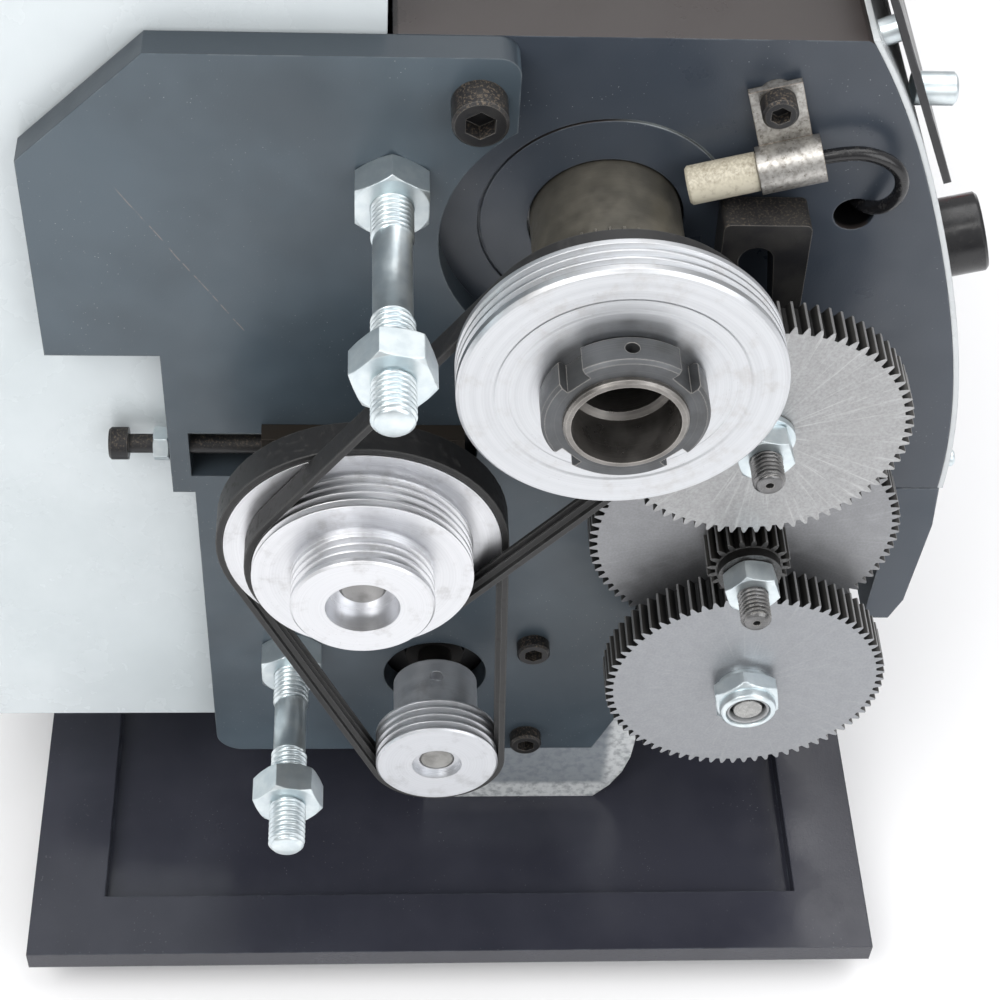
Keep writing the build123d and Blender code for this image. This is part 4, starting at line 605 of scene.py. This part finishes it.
looks = {
    # The top colours below are painted reflections, the housing's rear-face colour is painted light, and the
    # headstock's cable hole gets painted shade.
    "motor_plate": painted("plate_paint", rgb(60, 70, 78), rgb(76, 88, 97), rgb(150, 156, 158), 0.36, 0.55,
                           top=rgb(50, 58, 65), scratch=PLATE_SCRATCH, worn=0.35),
    "headstock_casting": painted("headstock_paint", rgb(49, 56, 65), rgb(60, 67, 77), rgb(150, 156, 160),
                                 0.34, 0.8, worn=0.3, top=rgb(54, 49, 48), ring=SCRIBED_RADIUS,
                                 hole=CABLE_HOLE),
    "lower_front_housing": painted("housing_paint", rgb(50, 58, 68), rgb(60, 69, 80), rgb(160, 166, 170),
                                   0.36, 0.3, rear_face_light=rgb(150, 156, 160)),
    "saddle": painted("saddle_paint", rgb(50, 61, 74), rgb(62, 74, 86), rgb(170, 176, 180), 0.36, 0.3),
    "apron": painted("apron_paint", rgb(50, 61, 74), rgb(62, 74, 86), rgb(170, 176, 180), 0.36, 0.3),
    "tailstock_body": painted("tailstock_paint", rgb(50, 61, 74), rgb(62, 74, 86), rgb(170, 176, 180), 0.36,
                              0.3),
    "leadscrew_brackets": painted("bracket_paint", rgb(58, 60, 62), rgb(70, 72, 74), rgb(170, 170, 170), 0.42,
                                  0.3),
    "motor_housing": painted("motor_paint", rgb(28, 28, 30), rgb(38, 38, 40), rgb(120, 120, 120), 0.5, 0.2),
    "chip_tray": painted("tray_paint", rgb(42, 43, 52), rgb(55, 56, 65), rgb(96, 104, 112), 0.18, 0.35,
                         worn=0.3),
    "rear_guard": painted("guard_paint", rgb(198, 206, 209), rgb(209, 216, 219), rgb(190, 196, 198), 0.24,
                          0.05),
    "front_panel": painted("panel_paint", rgb(196, 200, 202), rgb(208, 212, 214), rgb(160, 164, 168), 0.32,
                           0.1),
    "label_panel": painted("label_paint", rgb(28, 28, 31), rgb(36, 36, 39), rgb(120, 120, 124), 0.34, 0.3),
    "bed": bed_iron(),
    "spindle_pulley": turned_metal("pulley_aluminium", SPINDLE, rgb(206, 208, 211), rgb(160, 152, 144), 0.4,
                                   0.3),
    "idler_pulley": turned_metal("idler_aluminium", IDLER, rgb(220, 221, 224), rgb(140, 136, 130), 0.36,
                                 0.35),
    "motor_pulley": turned_metal("motor_aluminium", MOTOR, rgb(208, 210, 214), rgb(120, 118, 116), 0.38, 0.3,
                                 metallic=0.8),
    "chuck_body": turned_metal("chuck_steel", SPINDLE, rgb(186, 187, 188), rgb(110, 104, 98), 0.26, 0.3),
    "quill": turned_metal("quill_steel", SPINDLE, rgb(190, 191, 192), rgb(116, 108, 100), 0.22, 0.3),
    "upper_change_gear": gear_steel("upper_gear_steel", UPPER_STUD, rgb(168, 169, 170), rgb(154, 154, 154),
                                    0.5, 0.0348),
    "compound_gear": gear_steel("compound_steel", LOWER_STUD, rgb(146, 147, 150), rgb(138, 139, 141), 0.12,
                                0.0388),
    "compound_pinion": gear_steel("pinion_steel", LOWER_STUD, rgb(92, 92, 92), rgb(70, 70, 70), 0.0, 0.0088),
    "leadscrew_gear": gear_steel("leadscrew_gear_steel", LEADSCREW, rgb(153, 155, 159), rgb(146, 148, 151),
                                 0.1, 0.0363),
    "spindle_gear": dark_steel("sleeve_steel", SPINDLE, rgb(118, 114, 104), rgb(102, 99, 91), 0.42, 0.7,
                               lines=0.12),
    "spindle": dark_steel("spindle_steel", SPINDLE, rgb(134, 131, 128), rgb(104, 101, 98), 0.34),
    "spindle_ring_nut": dark_steel("ring_nut_steel", SPINDLE, rgb(88, 90, 93), rgb(74, 75, 76), 0.44, 0.6,
                                   lines=0.1),
    "motor_shaft": two_tone_steel("motor_shaft_steel", MOTOR, rgb(40, 39, 38), rgb(156, 155, 152),
                                  SHAFT_SHOULDER),
    "gear_banjo": black_oxide("banjo_steel", 0.35),
    "socket_screws": black_oxide("screw_steel", 0.6),
    "tension_screw": black_oxide("tension_steel", 0.4),
    "tool_post": black_oxide("tool_post_steel", 0.25),
    "tensioner_block": two_tone_steel("block_steel", IDLER, rgb(60, 54, 48), rgb(150, 149, 148),
                                      BLOCK_FACE),
    "leadscrew": ground_steel("leadscrew_steel", rgb(170, 170, 168)),
    "rack": ground_steel("rack_steel", rgb(150, 150, 148)),
    "cross_slide": ground_steel("cross_slide_steel"),
    "compound_base": ground_steel("compound_base_steel"),
    "top_slide": ground_steel("top_slide_steel"),
    "spindle_bearings": ground_steel("bearing_steel"),
    "half_nut": ground_steel("half_nut_bronze", rgb(176, 142, 92)),
    "speed_sensor": plastic("sensor_cream", rgb(196, 190, 172), rgb(112, 99, 80), 0.46, 0.42, dusty=0.9),
    "sensor_clip": clip_metal(),
    "speed_knob": plastic("knob_black", rgb(24, 24, 26), rgb(60, 58, 56), 0.22, 0.2),
    "stop_button": plastic("stop_red", rgb(176, 24, 22), rgb(120, 16, 14), 0.24, 0.2),
    "rubber_feet": rubber("foot_rubber"),
    "chuck_guard": clear_plastic(),
}
ZINC = zinc()
CHROME = chrome()
BELT = rubber("belt_rubber", rgb(27, 27, 28), 0.62, 0.07)
CABLE = rubber("cable_sheath", rgb(24, 24, 26), 0.32, 0.1)
INSERT = plastic("nut_insert", rgb(150, 152, 154), rgb(92, 90, 86), 0.4, 0.4)
STUD_STEEL = dark_steel("stud_steel", UPPER_STUD, rgb(120, 120, 121), rgb(86, 86, 86), 0.3)
JAW_STEEL = ground_steel("jaw_steel", rgb(120, 120, 121), 0.32)
for node in ("cover_studs", "bright_fasteners", "leadscrew_nut"):
    looks[node] = ZINC
for node in ("half_nut_lever", "tool_post_lever", "tailstock_lever"):
    looks[node] = CHROME
for node in ("chuck_jaw_1", "chuck_jaw_2", "chuck_jaw_3"):
    looks[node] = JAW_STEEL
looks["gear_studs"] = STUD_STEEL
looks["drive_belts"] = BELT
looks["sensor_cable"] = CABLE
looks["apron_handwheel"] = CHROME
looks["cross_slide_wheel"] = dial("cross_dial", "cross_wheel_turn", 100)
looks["compound_wheel"] = dial("compound_dial", "compound_wheel_turn", 60)
looks["tailstock_wheel"] = dial("tail_dial", "tail_wheel_turn", 80)

for node, look in looks.items():
    mesh = frame["nodes"][node].data
    mesh.materials.clear()
    mesh.materials.append(look)
    mesh.set_sharp_from_angle(angle=radians(30))


# -------------------------------------------------------------------- pieces
def cover_studs():
    """The two studs that the missing cover slides on to: threaded ends, plain middle."""
    ends = [mount["pos_m"] for mount in frame["record"]["mounts"] if mount["name"].endswith("cover_stud")]
    tips = [min(v.co.x for v in frame["nodes"]["cover_studs"].data.vertices if abs(v.co.y - end[1]) < 0.01)
            for end in ends]
    for number, (end, tip) in enumerate(zip(ends, tips)):
        stretches = [(tip, tip + 0.030, 0.005, True), (tip + 0.0305, END_FACE - 0.027, 0.0045, False),
                     (END_FACE - 0.0265, END_FACE - 0.0005, 0.005, True)]
        rod = threaded_rod(f"cover_stud_{number + 1}", stretches, end[1:], M10_THREAD, ZINC, "frame")
        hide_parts("cover_studs")


def gear_stud_threads():
    """Studs of the two gear axles: M8 threads, a plain journal, a neck in the banjo's slot and a head."""
    points = [vertex.co for vertex in frame["nodes"]["gear_studs"].data.vertices]
    front, back = low("gear_banjo").x - 0.0001, high("gear_banjo").x + 0.0001
    axles = ((UPPER_STUD, "upper_change_gear"), (LOWER_STUD, "compound_pinion"))
    for number, (centre, node) in enumerate(axles):
        tip = min(point.x for point in points if abs(point.z - centre[1]) < 0.009)
        shoulder = low(node).x - 0.0002
        stretches = [(tip, shoulder, 0.004, True), (shoulder, front, 0.005, False),
                     (front, back, 0.004, False), (back, END_FACE - 0.0006, 0.0085, False)]
        rod = threaded_rod(f"gear_stud_{number + 1}", stretches, centre, M8_THREAD, STUD_STEEL, "frame",
                           hole=0.001)
        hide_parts("gear_studs")


def belt_section(x):
    """The belt's outline between x[0] and x[1], as (x, height above the pulley): flat back, ribs below."""
    pitch, root, tip, thick = 2.34 * MM, 0.2 * MM, -1.0 * MM, 1.9 * MM
    corner = 0.2 * MM
    section = [(x[0], root), (x[0], thick - corner), (x[0] + corner, thick), (x[1] - corner, thick),
               (x[1], thick - corner), (x[1], root)]
    count = int((x[1] - x[0]) / pitch)
    for rib in range(count):
        top = (x[0] + x[1]) / 2 + ((count - 1) / 2 - rib) * pitch
        section += [(top + 0.8 * MM, root), (top + 0.2 * MM, tip), (top - 0.2 * MM, tip),
                    (top - 0.8 * MM, root)]
    return section


def belt_path(first, first_r, second, second_r):
    """Stations round two pulleys: (centre, radius, angle) on one, or (start, end, share) between them."""
    span = hypot(second[0] - first[0], second[1] - first[1])
    line = atan2(second[1] - first[1], second[0] - first[0])
    lean = pi / 2 - atan2(first_r - second_r, span)
    shares = (0.25, 0.5, 0.75)
    path = [(first, first_r, line + lean + (2 * pi - 2 * lean) * step / 48) for step in range(49)]
    path += [((first, first_r, line - lean), (second, second_r, line - lean), share) for share in shares]
    path += [(second, second_r, line - lean + 2 * lean * step / 32) for step in range(33)]
    path += [((second, second_r, line + lean), (first, first_r, line + lean), share) for share in shares]
    return path


def belt_point(station, out):
    """The (y, z) point at a station, moved out by a height above the pulley."""
    if isinstance(station[0][0], tuple):
        start, end, share = station
        one, two = belt_point(start, out), belt_point(end, out)
        return tuple(a + (b - a) * share for a, b in zip(one, two))
    centre, radius, angle = station
    return (centre[0] + (radius + out) * cos(angle), centre[1] + (radius + out) * sin(angle))


def belt(name, first, first_r, second, second_r, x):
    """A ribbed belt round two pulleys, whose ribs run in the pulleys' grooves."""
    section = belt_section(x)
    path = belt_path(first, first_r, second, second_r)
    points = [(x_here,) + belt_point(station, out) for station in path for x_here, out in section]
    faces = tube_faces(len(path), len(section), closed_rows=True)
    piece = add_mesh(name, points, faces, BELT, None, crease=25.0)
    return piece


def belts():
    """The motor's belt on the idler's large step and the spindle's belt on its middle step."""
    front, back = low("drive_belts").x, high("drive_belts").x
    runs = [("motor_belt", MOTOR, 0.0174, 0.035, (back - 0.0092, back)),
            ("spindle_belt", SPINDLE, 0.0313, 0.0277, (front + 0.0005, front + 0.0073))]
    for name, start, start_r, end_r, x in runs:
        piece = belt(name, start, start_r, IDLER, end_r, x)
        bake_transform(piece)
        if name == "motor_belt":
            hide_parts("drive_belts")


def sensor_cable():
    """The sensor's lead: out of its back, round a loop and down the wiring hole.

    The route is in millimetres from the spindle's axis at the end face.
    """
    route = [(-6.0, -47.05, 24.914), (-6.0, -53.76, 26.914), (-6.4, -61.2, 25.9), (-6.4, -66.6, 21.6),
             (-6.0, -68.0, 14.8), (-4.4, -65.4, 8.6), (0.2, -61.0, 4.6), (7.0, -59.7, 2.8)]
    curve = bpy.data.curves.new("sensor_lead", "CURVE")
    curve.dimensions = "3D"
    curve.bevel_depth = 1.7 * MM
    curve.bevel_resolution = 6
    curve.use_fill_caps = True
    curve.resolution_u = 12
    spline = curve.splines.new("NURBS")
    spline.points.add(len(route) - 1)
    for point, (x, y, z) in zip(spline.points, route):
        point.co = (END_FACE + x * MM, SPINDLE[0] + y * MM, SPINDLE[1] + z * MM, 1.0)
    spline.order_u = 3
    spline.use_endpoint_u = True
    piece = bpy.data.objects.new("sensor_lead", curve)
    bpy.context.scene.collection.objects.link(piece)
    curve.materials.append(CABLE)
    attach(piece, "frame")
    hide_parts("sensor_cable")


def locking_nut():
    """Washer and locking nut on the leadscrew's end: a round top that holds a pale insert."""
    face = low("leadscrew_gear").x
    x = face - 0.0069
    plate = [(face - 0.0016, 0.0052), (face - 0.0016, 0.0072), (face - 0.0014, 0.0074), (face, 0.0074),
             (face, 0.0052)]
    rim = [(x + 0.001, 0.0077), (x - 0.0015, 0.0077), (x - 0.0022, 0.0075), (x - 0.0026, 0.0070),
           (x - 0.0026, 0.0062), (x - 0.0021, 0.0060), (x + 0.0006, 0.0060)]
    ring = [(x + 0.0005, 0.0059), (x - 0.0019, 0.0059), (x - 0.0021, 0.0056), (x - 0.0019, 0.0051),
            (x + 0.0005, 0.0051)]
    body = "leadscrew_assembly"
    washer = turned_mesh("leadscrew_washer", plate, LEADSCREW, ZINC, body, 72)
    nut = hex_nut("leadscrew_locking_nut", 0.017, (x, face - 0.0016), LEADSCREW, 0.005, ZINC, body,
                  turn=radians(20))
    collar = turned_mesh("leadscrew_nut_collar", rim, LEADSCREW, ZINC, body, 72)
    insert = turned_mesh("leadscrew_nut_insert", ring, LEADSCREW, INSERT, body, 64)
    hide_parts("leadscrew_nut")


def leadscrew_thread():
    """The leadscrew: its end for the gear, its two journals and the thread between them."""
    start, end = low("leadscrew").x, high("leadscrew").x
    thread_start, thread_end = END_FACE + 0.030, END_FACE + 0.660
    stretches = [(start, start + 0.0085, 0.005, False), (start + 0.0085, thread_start, 0.006, False),
                 (thread_start, thread_end, 0.008, True), (thread_end, end, 0.006, False)]
    rod = threaded_rod("leadscrew_rod", stretches, LEADSCREW, LEAD_THREAD, looks["leadscrew"],
                       "leadscrew_assembly")
    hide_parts("leadscrew")


cover_studs()
gear_stud_threads()
belts()
sensor_cable()
locking_nut()
leadscrew_thread()


# ----------------------------------------------------------- floor and light
def floor():
    """A plain pale floor."""
    size = 6.0
    points = [(-size, -size, 0), (size, -size, 0), (size, size, 0), (-size, size, 0)]
    look = Look("floor", Roughness=0.9)
    base = look.mixed(look.noise(3.0), rgb(244, 244, 245), rgb(240, 240, 241))
    plane = add_mesh("floor", points, [(0, 1, 2, 3)], look.paint(base), None, smooth=False)


def area_light(name, place, aim, size, power, colour=(1.0, 1.0, 1.0)):
    """A soft rectangular light at place, turned to aim."""
    light = bpy.data.lights.new(name, "AREA")
    light.shape = "RECTANGLE"
    light.size, light.size_y = size
    light.energy = power
    light.color = colour
    lamp = bpy.data.objects.new(name, light)
    lamp.location = place
    lamp.rotation_euler = (Vector(aim) - Vector(place)).to_track_quat("-Z", "Y").to_euler()
    bpy.context.scene.collection.objects.link(lamp)


def surroundings():
    """A grey studio, darkest round the horizon and lightest overhead."""
    world = bpy.data.worlds.new("studio")
    bpy.context.scene.world = world
    world.use_nodes = True
    tree = world.node_tree
    background = tree.nodes["Background"]
    place = tree.nodes.new("ShaderNodeTexCoord")
    height = tree.nodes.new("ShaderNodeSeparateXYZ")
    tree.links.new(place.outputs["Generated"], height.inputs[0])
    ramp = tree.nodes.new("ShaderNodeValToRGB")
    stops = [(0.0, 0.75), (0.42, 0.62), (0.55, 0.5), (0.75, 0.85), (1.0, 1.0)]
    for position, _ in stops[1:-1]:
        ramp.color_ramp.elements.new(position)
    for element, (_, value) in zip(ramp.color_ramp.elements, stops):
        element.color = (value, value, value * 1.01, 1.0)
    shift = tree.nodes.new("ShaderNodeMath")
    shift.operation = "MULTIPLY_ADD"
    tree.links.new(height.outputs[2], shift.inputs[0])
    shift.inputs[1].default_value = 0.5
    shift.inputs[2].default_value = 0.5
    tree.links.new(shift.outputs[0], ramp.inputs[0])
    tree.links.new(ramp.outputs[0], background.inputs[0])
    background.inputs[1].default_value = 0.78


def camera():
    """Looks down at the drive end from the left of the lathe."""
    pitch, yaw, roll = radians(49.17), radians(-5.35), radians(4.21)
    ahead = Vector((cos(pitch) * cos(yaw), cos(pitch) * sin(yaw), -sin(pitch)))
    right = ahead.cross(Vector((0, 0, 1))).normalized()
    up = right.cross(ahead)
    right, up = right * cos(roll) + up * sin(roll), up * cos(roll) - right * sin(roll)
    data = bpy.data.cameras.new("camera")
    data.sensor_width = 36.0
    data.lens = 36.0 * 2.1785
    data.clip_start, data.clip_end = 0.02, 50.0
    eye = bpy.data.objects.new("camera", data)
    rotation = Matrix((right, up, -ahead)).transposed()
    eye.matrix_world = Matrix.Translation((-0.70296, 0.02662, 0.61603)) @ rotation.to_4x4()
    bpy.context.scene.collection.objects.link(eye)
    bpy.context.scene.camera = eye


floor()
surroundings()
area_light("key", (-1.1, 0.9, 1.7), (-0.25, 0.0, 0.2), (1.2, 1.2), 23.0, (1.0, 0.99, 0.97))
area_light("front", (-1.3, -0.9, 0.9), (-0.3, -0.02, 0.2), (1.0, 1.0), 8.0, (0.98, 0.99, 1.0))
area_light("top", (0.1, -0.2, 1.6), (0.0, 0.0, 0.2), (1.6, 1.0), 12.0)
camera()
bpy.context.scene.view_settings.view_transform = "Standard"
